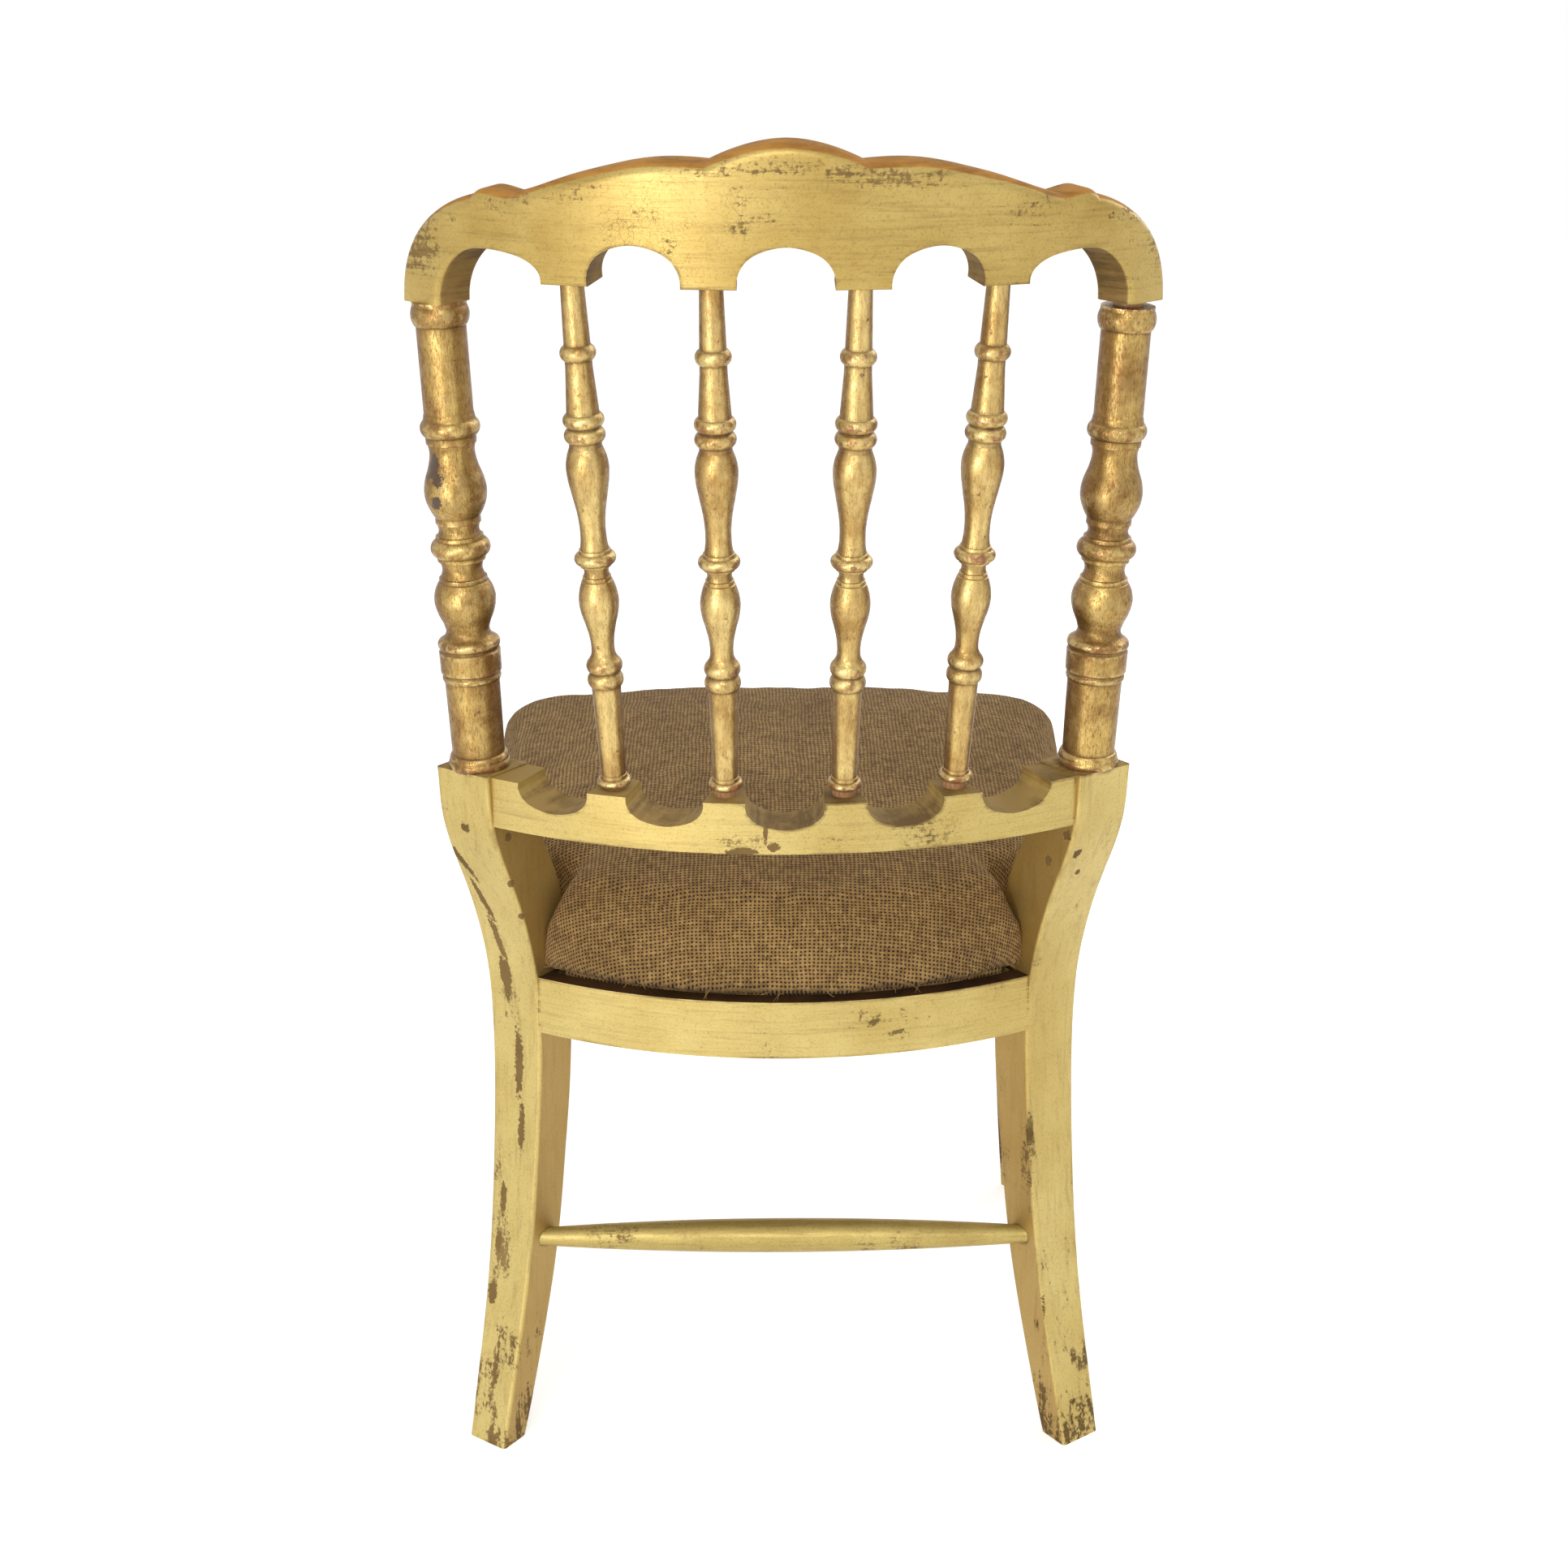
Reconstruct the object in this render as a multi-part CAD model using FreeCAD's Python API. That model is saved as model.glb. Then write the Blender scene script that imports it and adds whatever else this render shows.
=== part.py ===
import FreeCAD, Part
import math
import os

os.makedirs("parts", exist_ok=True)
Vec = FreeCAD.Vector
UP = Vec(0, 0, 1)

# Driving dimensions, in millimetres and degrees. The model is drawn about the
# upright axis of the bowed back, with the rear towards +Y, and shifted at export.
# BACK_RADIUS scales the whole plan and BLOCK_TOP the heights below the turned back.
CREST_TOP = 878.8
BLOCK_TOP = 490.5
BACK_RADIUS = 330.0
OVERRUN = 40.0
WORK_HEIGHT = CREST_TOP
HALVINGS = 40

# Rear legs: a swept outline in an upright plane that faces outwards at LEG_ANGLE
LEG_ANGLE = 35.5
LEG_WIDTH = 43.0
LEG_FOOT_WIDTH = 32.0
LEG_TAPER_SHARE = 0.6116
LEG_TAPER_TOP = BLOCK_TOP * LEG_TAPER_SHARE
LEG_EDGE = 2.6

# Lower back rail
BACK_RAIL_THICK = 34.0
BACK_RAIL_OUTER = BACK_RADIUS + BACK_RAIL_THICK / 2
BACK_RAIL_STEP = 1.0
BACK_RAIL_HEIGHT = 32.5
BACK_RAIL_TOP = BLOCK_TOP - BACK_RAIL_STEP
BACK_RAIL_BOTTOM = BACK_RAIL_TOP - BACK_RAIL_HEIGHT
SCALLOP_DEPTH = 16.8
SCALLOP_HALF = 24.2
SCALLOP_ANGLES = (-24.56, -12.3, 0.0, 12.3, 24.56)

# Crest rail: leans back along a cone about its own centre
CREST_CENTRE_SHARE = 0.26061
CREST_RADIUS_SHARE = 0.87273
CREST_CENTRE_Y = BACK_RADIUS * CREST_CENTRE_SHARE
CREST_RADIUS = BACK_RADIUS * CREST_RADIUS_SHARE
CREST_THICK = 26.0
CREST_END_THICK = 27.5
CREST_LEAN = 0.12
CREST_RISE = 77.8
CREST_TAB = CREST_TOP - CREST_RISE
CREST_END_ANGLE = 49.67
CREST_ROUND = 7.0
CREST_LOW_EDGE = 1.0
CREST_END_EDGE = 6.5
ARCH_HEIGHT = 23.5
ARCH_HALF = 27.0
SIDE_ARCH_HEIGHT = 18.4
SIDE_ARCH_HALF = 37.5

# Turned posts and spindles
POST_ANGLE = 45.3
POST_DROP = 17.5
POST_SET = 3.0
POST_LEVEL = CREST_TAB - POST_DROP
POST_FOOT_RADIUS = BACK_RADIUS + POST_SET
POST_RADIUS = 19.5
POST_TENON_RADIUS = 9.0
POST_TENON = 16.0
POST_GAP_LEFT = 0.0
POST_GAP_RIGHT = 3.5
SPINDLE_FOOT_ANGLES = (18.58, 6.29, -6.29, -18.58)
SPINDLE_TOP_ANGLES = (24.6, 8.25, -8.25, -24.6)
SPINDLE_STANDS = (2.2, 5.5, 5.5, 5.5)
SPINDLE_RADIUS = 12.6
SPINDLE_TENON_RADIUS = 7.1
SPINDLE_TENON = 14.0

# Rear stretcher
STRETCHER_LEVEL_SHARE = 0.29562
STRETCHER_Y_SHARE = 0.79091
STRETCHER_SHOULDER_SHARE = 0.5
STRETCHER_LEVEL = BLOCK_TOP * STRETCHER_LEVEL_SHARE
STRETCHER_Y = BACK_RADIUS * STRETCHER_Y_SHARE
STRETCHER_END_RADIUS = 6.45
STRETCHER_MID_RADIUS = 11.8
STRETCHER_TENON = 14.0
STRETCHER_SHOULDER = BACK_RADIUS * STRETCHER_SHOULDER_SHARE

# Front legs: square, turned 45 degrees, feet swept outwards
FRONT_LEG_X_SHARE = 0.5985
FRONT_LEG_Y_SHARE = -0.2
FRONT_LEG_X = BACK_RADIUS * FRONT_LEG_X_SHARE
FRONT_LEG_Y = BACK_RADIUS * FRONT_LEG_Y_SHARE
FRONT_LEG_SIZE = 36.0
FRONT_FOOT_SIZE = 25.5
FRONT_SWEEP = 12.0

# Seat rails and their rebate
SEAT_LEVEL_SHARE = 0.69419
SEAT_LEVEL = BLOCK_TOP * SEAT_LEVEL_SHARE
SEAT_SLOPE = 0.08
RAIL_HEIGHT = 39.5
RAIL_THICK = 26.0
REAR_RAIL_SHARES = (0.93030, 1.00606)
FRONT_RAIL_SHARES = (-0.35758, 2.3)
SIDE_RAIL_SHARES = ((0.52879, 0.65030), (0.62879, 0.23333), (0.67576, -0.19394))
REAR_RAIL_Y, REAR_RAIL_RADIUS = [BACK_RADIUS * share for share in REAR_RAIL_SHARES]
FRONT_RAIL_Y, FRONT_RAIL_RADIUS = [BACK_RADIUS * share for share in FRONT_RAIL_SHARES]
SIDE_RAIL_REAR, SIDE_RAIL_MID, SIDE_RAIL_FRONT = [
    (BACK_RADIUS * x_share, BACK_RADIUS * y_share) for x_share, y_share in SIDE_RAIL_SHARES]
LIP = 12.0
TENON_THICK = 10.0
TENON_HEIGHT = 18.0
TENON_LONG = 13.0
TENON_DROP = 38.0
BACK_TENON_HEIGHT = 10.0
BACK_TENON_DROP = 24.5

# Drop-in seat
LEDGE_GAP = 0.7
CLOTH = 0.8
CLOTH_GAP = 0.15
FRAME_THICK = 14.0
WEB_THICK = 1.2
WEB_WIDTH = 50.0
WEB_INSET = 8.0
CUSHION_LIFT = 1.5
SLOT = 3.0
LEG_GAP = 4.0
FRONT_CORNER = 34.0
FRAME_CORNER = 5.0
CUSHION_CORNER = 14.0
FRAME_SIDE_SHARES = (0.32727, 0.47879)
FRAME_CROSS_SHARES = (-0.2, 0.74545)
FRAME_SIDE_REAR, FRAME_SIDE_FRONT = [BACK_RADIUS * share for share in FRAME_SIDE_SHARES]
FRAME_FRONT_Y, FRAME_REAR_Y = [BACK_RADIUS * share for share in FRAME_CROSS_SHARES]
TURN_UNDER = 26.0
CUSHION_HEIGHT = 78.0
CUSHION_BULGE = 9.5
CUSHION_CENTRE_SHARE = 0.21212
CUSHION_CENTRE_Y = BACK_RADIUS * CUSHION_CENTRE_SHARE

# Corner blocks, screws and tacks
BLOCK_HEIGHT = 19.0
BLOCK_REACH = 46.0
SCREW_RADIUS = 2.0
SCREW_HEAD_RADIUS = 4.0
SCREW_HEAD_DEPTH = 1.6
SCREW_LONG = 30.0
SCREW_SPREAD = 11.0
SCREW_SLOT = 0.9
TACK_HEAD_RADIUS = 3.2
TACK_HEAD_HEIGHT = 0.3
TACK_PIN_RADIUS = 0.7
TACK_LONG = 8.0
TACK_INSET = 11.0
TACK_PITCH = 42.0

LEDGE = LEDGE_GAP + CLOTH + FRAME_THICK + WEB_THICK + WEB_THICK + CLOTH - CUSHION_LIFT

# Swept rear leg: height over BLOCK_TOP, then rear and front edge over BACK_RADIUS
REAR_LEG_SHARES = (
    (0.0, 1.0818, 1.0121), (0.0815, 1.0515, 0.9712), (0.1631, 1.0212, 0.9348),
    (0.2446, 0.9955, 0.903), (0.3262, 0.9758, 0.8797), (0.4077, 0.9606, 0.863),
    (0.4893, 0.9485, 0.8473), (0.5708, 0.9403, 0.8376), (0.632, 0.9394, 0.8352),
    (0.6932, 0.9464, 0.8364), (0.7543, 0.9652, 0.8439), (0.8155, 0.9939, 0.8606),
    (0.8665, 1.0242, 0.8909), (0.9072, 1.0461, 0.9197), (0.948, 1.0585, 0.9364),
    (1.0, 1.0636, 0.9424))

# Crest outline: angle over CREST_END_ANGLE, rise over the crest's full rise
CREST_LOBE_SHARES = (
    ((0.0, 1.0), (0.0714, 0.9708), (0.1205, 0.9229), (0.1662, 0.8605)),
    ((0.1662, 0.8605), (0.2439, 0.8737), (0.3229, 0.8537), (0.4064, 0.7988),
     (0.4946, 0.7285), (0.5573, 0.6668), (0.6176, 0.6146)),
    ((0.6176, 0.6146), (0.6365, 0.6276), (0.6565, 0.6413), (0.6809, 0.6498),
     (0.6986, 0.6387), (0.7131, 0.6074)))
# Crest shoulder: upper edge angle and rise, lower edge angle and rise
SHOULDER_SHARES = (
    (0.7131, 0.6074, 0.7131, 0.2276), (0.8106, 0.5106, 0.7489, 0.1929),
    (0.8856, 0.3679, 0.7831, 0.1221), (0.9421, 0.1867, 0.8133, 0.0257),
    (0.9798, -0.0308, 0.8375, -0.0964), (1.0, -0.2829, 0.8496, -0.2829))
SIDE_ARCH_ANGLE_SHARE = 0.6885
ARCH_ANGLE_SHARE = 0.3282
# Most of a notch's side that a rounded corner may take
BEND_SHARE = 0.8
# Arch and scallop outline: half width, then height, from one end to the crown
ARCH_SHARES = ((1.0, 0.0), (0.975, 0.36), (0.79, 0.69), (0.4, 0.925), (0.0, 1.0))

# Front leg: heights of its sections over its length, and the height where it starts to taper
FRONT_LEG_SHARES = (0.0, 0.2, 0.42, 0.66, 1.0)
FRONT_TAPER_SHARE = 0.66
# Webbing: strap middles over the seat's depth, then over the front leg's distance from the middle
ACROSS_STRAP_SHARES = (0.16, 0.39, 0.62, 0.85)
ALONG_STRAP_SHARES = (-0.36, 0.0, 0.36)
# Tongue of the seat frame: its lower and upper face over the frame's thickness
TONGUE_SHARES = (0.33, 0.67)

# Turned outlines: height over length, radius over the largest radius
POST_SHARES = (
    ("line", ((0.0, 0.9436),)), ("arc", ((0.0097, 1.0), (0.0193, 0.9538))),
    ("arc", ((0.0255, 0.9436), (0.0317, 0.9026))), ("line", ((0.0338, 0.8462), (0.1983, 0.8769))),
    ("arc", ((0.2055, 0.9385), (0.2124, 0.9026))),
    ("line", ((0.2159, 0.8974), (0.2193, 0.9692), (0.2638, 0.9795), (0.2676, 0.9333), (0.2717, 0.9385))),
    ("arc", ((0.28, 0.9949), (0.2897, 0.9333))),
    ("curve", ((0.2976, 0.7641), (0.3086, 0.6923), (0.3241, 0.7385), (0.3483, 0.8872), (0.381, 0.9744),
               (0.4034, 0.8974), (0.4159, 0.8))),
    ("line", ((0.4172, 0.7641), (0.4262, 0.759), (0.4272, 0.7026))),
    ("curve", ((0.4448, 0.6333), (0.4621, 0.6923))), ("line", ((0.4631, 0.7538), (0.471, 0.7692))),
    ("arc", ((0.4897, 0.941), (0.5083, 0.7692))), ("line", ((0.5162, 0.7487), (0.5172, 0.6821))),
    ("curve", ((0.5283, 0.6333), (0.5424, 0.6769))), ("line", ((0.5434, 0.7128), (0.5559, 0.7077))),
    ("curve", ((0.5724, 0.841), (0.5931, 0.9487), (0.6121, 0.9744), (0.6345, 0.9231), (0.6621, 0.7846),
               (0.6793, 0.7231), (0.6948, 0.7026), (0.7103, 0.7436))),
    ("line", ((0.7114, 0.7846), (0.7255, 0.7897))), ("arc", ((0.7431, 0.9282), (0.7593, 0.8205))),
    ("line", ((0.7638, 0.8), (0.771, 0.7846), (0.7738, 0.7667), (0.9503, 0.7667), (0.9524, 0.8051))),
    ("arc", ((0.9724, 0.8974), (0.991, 0.8308))), ("line", ((1.0, 0.8308),)))
SPINDLE_SHARES = (
    ("line", ((0.0, 0.6825),)), ("arc", ((0.0082, 0.8333), (0.0163, 0.7063))),
    ("line", ((0.017, 0.6587), (0.0235, 0.6429), (0.0245, 0.6111), (0.2072, 0.7063), (0.2117, 0.7222))),
    ("arc", ((0.2261, 0.873), (0.2405, 0.7302))), ("line", ((0.2424, 0.7143),)),
    ("arc", ((0.2561, 0.873), (0.2692, 0.7222))),
    ("curve", ((0.279, 0.5952), (0.292, 0.5556), (0.3148, 0.5952), (0.3409, 0.7302), (0.367, 0.8968),
               (0.3899, 0.9524), (0.4127, 0.873), (0.4303, 0.7381))),
    ("line", ((0.4316, 0.6905), (0.4388, 0.6746), (0.4398, 0.619))),
    ("curve", ((0.4486, 0.5794), (0.4584, 0.627))), ("line", ((0.4594, 0.746), (0.463, 0.7778))),
    ("arc", ((0.4747, 0.9921), (0.4865, 0.7778))), ("line", ((0.4923, 0.746), (0.4933, 0.6825))),
    ("curve", ((0.5073, 0.631), (0.5302, 0.6071), (0.5628, 0.6667), (0.602, 0.8413), (0.6346, 0.9762),
               (0.6574, 1.0), (0.677, 0.9127), (0.694, 0.7619))),
    ("line", ((0.7011, 0.7698),)), ("arc", ((0.7148, 0.9643), (0.7285, 0.7778))),
    ("line", ((0.7305, 0.7619),)), ("arc", ((0.7442, 0.9643), (0.7566, 0.7857))),
    ("line", ((0.7602, 0.7619), (0.8401, 0.631), (0.8551, 0.627), (0.8561, 0.6746))),
    ("arc", ((0.8695, 0.8333), (0.8825, 0.6746))), ("line", ((0.8845, 0.6151), (1.0, 0.5357))))

# Cushion side: height over CUSHION_HEIGHT, swell over CUSHION_BULGE, corner over CUSHION_CORNER
CUSHION_SHARES = (
    ((0.0, 0.0, 1.0), (0.22, 0.65, 1.0), (0.42, 1.0, 1.3), (0.6, 0.95, 1.6)),
    ((0.6, 0.95, 1.6), (0.7, 0.35, 1.9), (0.745, -0.6, 2.1), (0.775, -1.65, 2.2)))
# Crown: the last of those lines, drawn in to these shares of its size
CROWN_SHARES = (1.0, 0.85, 0.68, 0.5, 0.32, 0.14)


def facing(angle):
    """Unit vector (sin a, cos a, 0): the way outwards from the back's axis."""
    turn = math.radians(angle)
    return Vec(math.sin(turn), math.cos(turn), 0)


def sideways(angle):
    """Unit vector (cos a, -sin a, 0): along the back's curve towards +X."""
    turn = math.radians(angle)
    return Vec(math.cos(turn), -math.sin(turn), 0)


def mirrored(shape):
    """The same shape on the other side of the chair's middle plane."""
    return shape.mirror(Vec(0, 0, 0), Vec(1, 0, 0))


def flipped(point):
    """The same point or way on the other side of the chair's middle plane."""
    return Vec(-point.x, point.y, point.z)


def plan_box(centre, along, half_long, half_wide, height):
    """Upright block about a centre: half_long along one way, half_wide across it."""
    across = UP.cross(along)
    low = centre - UP * (height / 2)
    ends = ((1, 1), (-1, 1), (-1, -1), (1, -1), (1, 1))
    points = [low + along * (half_long * a) + across * (half_wide * b) for a, b in ends]
    return Part.Face(Part.makePolygon(points)).extrude(UP * height)


def rod(start, axis, length, radius):
    """Round bar from a start point along a unit axis."""
    return Part.makeCylinder(radius, length, start, axis)


def rounded_section(centre, across, along, half_across, half_along, radius, low_radius):
    """Closed rectangle about a centre, corners rounded; low_radius on the -along side."""
    edges = []
    previous = None
    first = None
    quarter = math.sqrt(2) / 2
    for side, end in ((1, 1), (-1, 1), (-1, -1), (1, -1)):
        bend = radius if end > 0 else low_radius
        heart = centre + across * (side * (half_across - bend)) + along * (end * (half_along - bend))
        on_side = heart + across * (side * bend)
        on_end = heart + along * (end * bend)
        middle = heart + across * (side * bend * quarter) + along * (end * bend * quarter)
        start, finish = (on_side, on_end) if side * end > 0 else (on_end, on_side)
        if previous is not None:
            edges.append(Part.makeLine(previous, start))
        else:
            first = start
        edges.append(Part.Arc(start, middle, finish).toShape())
        previous = finish
    edges.append(Part.makeLine(previous, first))
    return Part.Wire(edges)


def turned(runs, base, axis, length, radius, low_tenon, high_tenon, low_radius, high_radius):
    """Solid turned about an axis: runs of lines, arcs and smooth curves between two round tenons."""
    def at(height, reach):
        return Vec(reach, 0, height)

    edges = []
    here = at(-low_tenon, 0)

    def line_to(point):
        edges.append(Part.makeLine(here, point))
        return point

    here = line_to(at(-low_tenon, low_radius))
    here = line_to(at(0, low_radius))
    for kind, rows in runs:
        points = [at(height * length, reach * radius) for height, reach in rows]
        if kind == "line":
            for point in points:
                here = line_to(point)
        elif kind == "arc":
            edges.append(Part.Arc(here, points[0], points[1]).toShape())
            here = points[1]
        else:
            spline = Part.BSplineCurve()
            spline.interpolate([here] + points)
            edges.append(spline.toShape())
            here = points[-1]
    if high_radius < here.x:
        here = line_to(at(length, high_radius))
    here = line_to(at(length + high_tenon, high_radius))
    here = line_to(at(length + high_tenon, 0))
    here = line_to(at(-low_tenon, 0))
    solid = Part.Face(Part.Wire(edges)).revolve(Vec(0, 0, 0), UP, 360)
    solid.Placement = FreeCAD.Placement(base, FreeCAD.Rotation(UP, axis))
    return solid


def arch_cutter(centre, across, rise, through, half_width, height, depth):
    """Prism with an arched outline that stands on its centre, cut through along one way."""
    right = [centre + across * (half_width * a) + rise * (height * b) for a, b in ARCH_SHARES]
    left = [centre - across * (half_width * a) + rise * (height * b) for a, b in ARCH_SHARES]
    outline = Part.BSplineCurve()
    outline.interpolate(right + left[-2::-1])
    low = -rise * OVERRUN
    edges = [outline.toShape(), Part.makeLine(left[0], left[0] + low),
             Part.makeLine(left[0] + low, right[0] + low), Part.makeLine(right[0] + low, right[0])]
    face = Part.Face(Part.Wire(edges))
    face.translate(-through * (depth / 2))
    return face.extrude(through * depth)


# Rear legs

def leg_width(height):
    """Width across the leg: full above the taper, narrowing evenly to the foot."""
    share = min(height / LEG_TAPER_TOP, 1.0)
    return LEG_FOOT_WIDTH + (LEG_WIDTH - LEG_FOOT_WIDTH) * share


def rear_leg_blank():
    """Swept leg lofted through level sections, on the +X side."""
    out = facing(LEG_ANGLE)
    side = sideways(LEG_ANGLE)
    wires = []
    for height_share, rear_share, front_share in REAR_LEG_SHARES:
        level = BLOCK_TOP * height_share
        rear = BACK_RADIUS * rear_share
        front = BACK_RADIUS * front_share
        centre = out * ((rear + front) / 2) + UP * level
        wires.append(rounded_section(centre, side, out, leg_width(level) / 2,
                                     (rear - front) / 2, LEG_EDGE, LEG_EDGE))
    return Part.makeLoft(wires, True, False)


# Lower back rail

def ring_sector(centre_y, outer, inner, angle, low, high):
    """Part of an upright ring between -angle and +angle about the +Y way."""
    centre = Vec(0, centre_y, low)
    arcs = []
    for radius in (outer, inner):
        ends = [centre + facing(a) * radius for a in (-angle, 0, angle)]
        arcs.append((Part.Arc(*ends).toShape(), ends))
    wire = Part.Wire([arcs[0][0], Part.makeLine(arcs[0][1][2], arcs[1][1][2]), arcs[1][0],
                      Part.makeLine(arcs[1][1][0], arcs[0][1][0])])
    return Part.Face(wire).extrude(UP * (high - low))


def lower_back_rail():
    """Bowed rail with five scallops in its upper edge."""
    rail = ring_sector(0, BACK_RAIL_OUTER, BACK_RAIL_OUTER - BACK_RAIL_THICK, LEG_ANGLE,
                       BACK_RAIL_BOTTOM, BACK_RAIL_TOP)
    for angle in SCALLOP_ANGLES:
        centre = facing(angle) * BACK_RADIUS + UP * BACK_RAIL_TOP
        rail = rail.cut(arch_cutter(centre, sideways(angle), -UP, facing(angle), SCALLOP_HALF,
                                    SCALLOP_DEPTH, BACK_RAIL_THICK + OVERRUN))
    return rail


# Crest rail

def crest_point(angle, level):
    """Middle of the crest's thickness at an angle and a height."""
    reach = CREST_RADIUS + CREST_LEAN * (level - CREST_TAB)
    return Vec(0, CREST_CENTRE_Y, level) + facing(angle) * reach


def crest_axes(angle):
    """Unit vectors up the leaning crest and out through its thickness."""
    rise = facing(angle) * CREST_LEAN + UP
    through = facing(angle) - UP * CREST_LEAN
    return rise.normalize(), through.normalize()


def crest_section(angle, top):
    """Upright section of the crest board, rounded on top."""
    low = crest_point(angle, CREST_TAB)
    high = crest_point(angle, top)
    rise, through = crest_axes(angle)
    return rounded_section((low + high) / 2, through, rise, CREST_THICK / 2,
                           (high - low).Length / 2, CREST_ROUND, CREST_LOW_EDGE)


def crest_board():
    """Middle of the crest: one loft for each lobe, arches cut below."""
    lobes = []
    centre_lobe = CREST_LOBE_SHARES[0]
    whole = [(-a, b) for a, b in centre_lobe[:0:-1]] + list(centre_lobe)
    lobes.append(whole)
    for lobe in CREST_LOBE_SHARES[1:]:
        lobes.append(list(lobe))
        lobes.append([(-a, b) for a, b in lobe[::-1]])
    board = None
    for lobe in lobes:
        wires = [crest_section(a * CREST_END_ANGLE, CREST_TAB + b * CREST_RISE) for a, b in lobe]
        piece = Part.makeLoft(wires, True, False)
        board = piece if board is None else board.fuse(piece)
    arches = [(0.0, ARCH_HALF, ARCH_HEIGHT)]
    for sign in (1, -1):
        arches.append((sign * ARCH_ANGLE_SHARE * CREST_END_ANGLE, ARCH_HALF, ARCH_HEIGHT))
        arches.append((sign * SIDE_ARCH_ANGLE_SHARE * CREST_END_ANGLE, SIDE_ARCH_HALF,
                       SIDE_ARCH_HEIGHT))
    for angle, half, height in arches:
        rise, through = crest_axes(angle)
        cutter = arch_cutter(crest_point(angle, CREST_TAB), sideways(angle), rise, through, half,
                             height, CREST_THICK + OVERRUN)
        board = board.cut(cutter)
    return board


def crest_shoulder(sign):
    """Rounded shoulder that turns from the board down to the post."""
    wires = []
    last = len(SHOULDER_SHARES) - 1
    for step, (top_angle, top, low_angle, low) in enumerate(SHOULDER_SHARES):
        share = step / last
        upper = crest_point(sign * top_angle * CREST_END_ANGLE, CREST_TAB + top * CREST_RISE)
        lower = crest_point(sign * low_angle * CREST_END_ANGLE, CREST_TAB + low * CREST_RISE)
        middle_angle = sign * CREST_END_ANGLE * (top_angle + low_angle) / 2
        along = (upper - lower).normalize()
        through = crest_axes(middle_angle)[1]
        through = (through - along * through.dot(along)).normalize()
        thick = CREST_THICK + (CREST_END_THICK - CREST_THICK) * share
        low_edge = CREST_LOW_EDGE + (CREST_END_EDGE - CREST_LOW_EDGE) * share
        wires.append(rounded_section((upper + lower) / 2, through, along, thick / 2,
                                     (upper - lower).Length / 2, CREST_ROUND, low_edge))
    return Part.makeLoft(wires, True, False)


# Posts and spindles

def post_line(sign):
    """Foot, head and unit axis of a post's straight centre line."""
    foot = facing(sign * LEG_ANGLE) * POST_FOOT_RADIUS + UP * BLOCK_TOP
    head = crest_point(sign * POST_ANGLE, POST_LEVEL)
    return foot, head, (head - foot).normalize()


def back_post(sign, gap):
    """Turned post from its tenon in the leg's head to its tenon in the crest, with an open gap."""
    foot, head, axis = post_line(sign)
    length = (head - foot).Length - gap
    return turned(POST_SHARES, foot, axis, length, POST_RADIUS, POST_TENON, POST_TENON + gap,
                  POST_TENON_RADIUS, POST_TENON_RADIUS)


def spindle_line(index):
    """Foot on the lower rail, head in the crest and unit axis of a spindle."""
    foot = facing(SPINDLE_FOOT_ANGLES[index]) * BACK_RADIUS + UP * BACK_RAIL_TOP
    head = crest_point(SPINDLE_TOP_ANGLES[index], CREST_TAB)
    return foot, head, (head - foot).normalize()


def spindle(index):
    """Turned spindle that stands a little way out of its hole on its bare tenon."""
    foot, head, axis = spindle_line(index)
    stand = SPINDLE_STANDS[index]
    length = (head - foot).Length - stand
    top_radius = SPINDLE_RADIUS * SPINDLE_SHARES[-1][1][-1][1]
    return turned(SPINDLE_SHARES, foot + axis * stand, axis, length, SPINDLE_RADIUS,
                  SPINDLE_TENON + stand, SPINDLE_TENON, SPINDLE_TENON_RADIUS, top_radius)


# Rear stretcher

def rear_stretcher():
    """Round bar, thin at both ends, swelling evenly to the middle."""
    reach = STRETCHER_SHOULDER
    right = Vec(reach, STRETCHER_END_RADIUS, 0)
    left = Vec(-reach, STRETCHER_END_RADIUS, 0)
    swell = Part.BSplineCurve()
    swell.interpolate([left, Vec(0, STRETCHER_MID_RADIUS, 0), right])
    tip = Vec(STRETCHER_TENON, 0, 0)
    down = Vec(0, -STRETCHER_END_RADIUS, 0)
    edges = [swell.toShape(), Part.makeLine(right, right + tip),
             Part.makeLine(right + tip, right + tip + down),
             Part.makeLine(right + tip + down, left - tip + down),
             Part.makeLine(left - tip + down, left - tip), Part.makeLine(left - tip, left)]
    bar = Part.Face(Part.Wire(edges)).revolve(Vec(0, 0, 0), Vec(1, 0, 0), 360)
    bar.translate(Vec(0, STRETCHER_Y, STRETCHER_LEVEL))
    return bar


# Seat plan: three arcs a side, with a notch round each rear leg

def circle_through(first, middle, last):
    """Centre and radius of the circle through three points in plan."""
    arc = Part.Arc(Vec(*first, 0), Vec(*middle, 0), Vec(*last, 0)).toShape().Curve
    return arc.Center, arc.Radius


SIDE_CENTRE, SIDE_RADIUS = circle_through(SIDE_RAIL_REAR, SIDE_RAIL_MID, SIDE_RAIL_FRONT)
REAR_CENTRE = Vec(0, REAR_RAIL_Y - REAR_RAIL_RADIUS, 0)
FRONT_CENTRE = Vec(0, FRONT_RAIL_Y + FRONT_RAIL_RADIUS, 0)


def circle_line(centre, radius, point, way):
    """Where a line from a point leaves a circle, going its own way."""
    offset = point - centre
    reach = offset.dot(way)
    return point + way * (math.sqrt(reach ** 2 - offset.dot(offset) + radius ** 2) - reach)


def on_circle(centre, radius, y_level, x_sign):
    """Point of a circle at a given y, on one side."""
    reach = math.sqrt(radius ** 2 - (y_level - centre.y) ** 2)
    return Vec(centre.x + x_sign * reach, y_level, 0)


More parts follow.
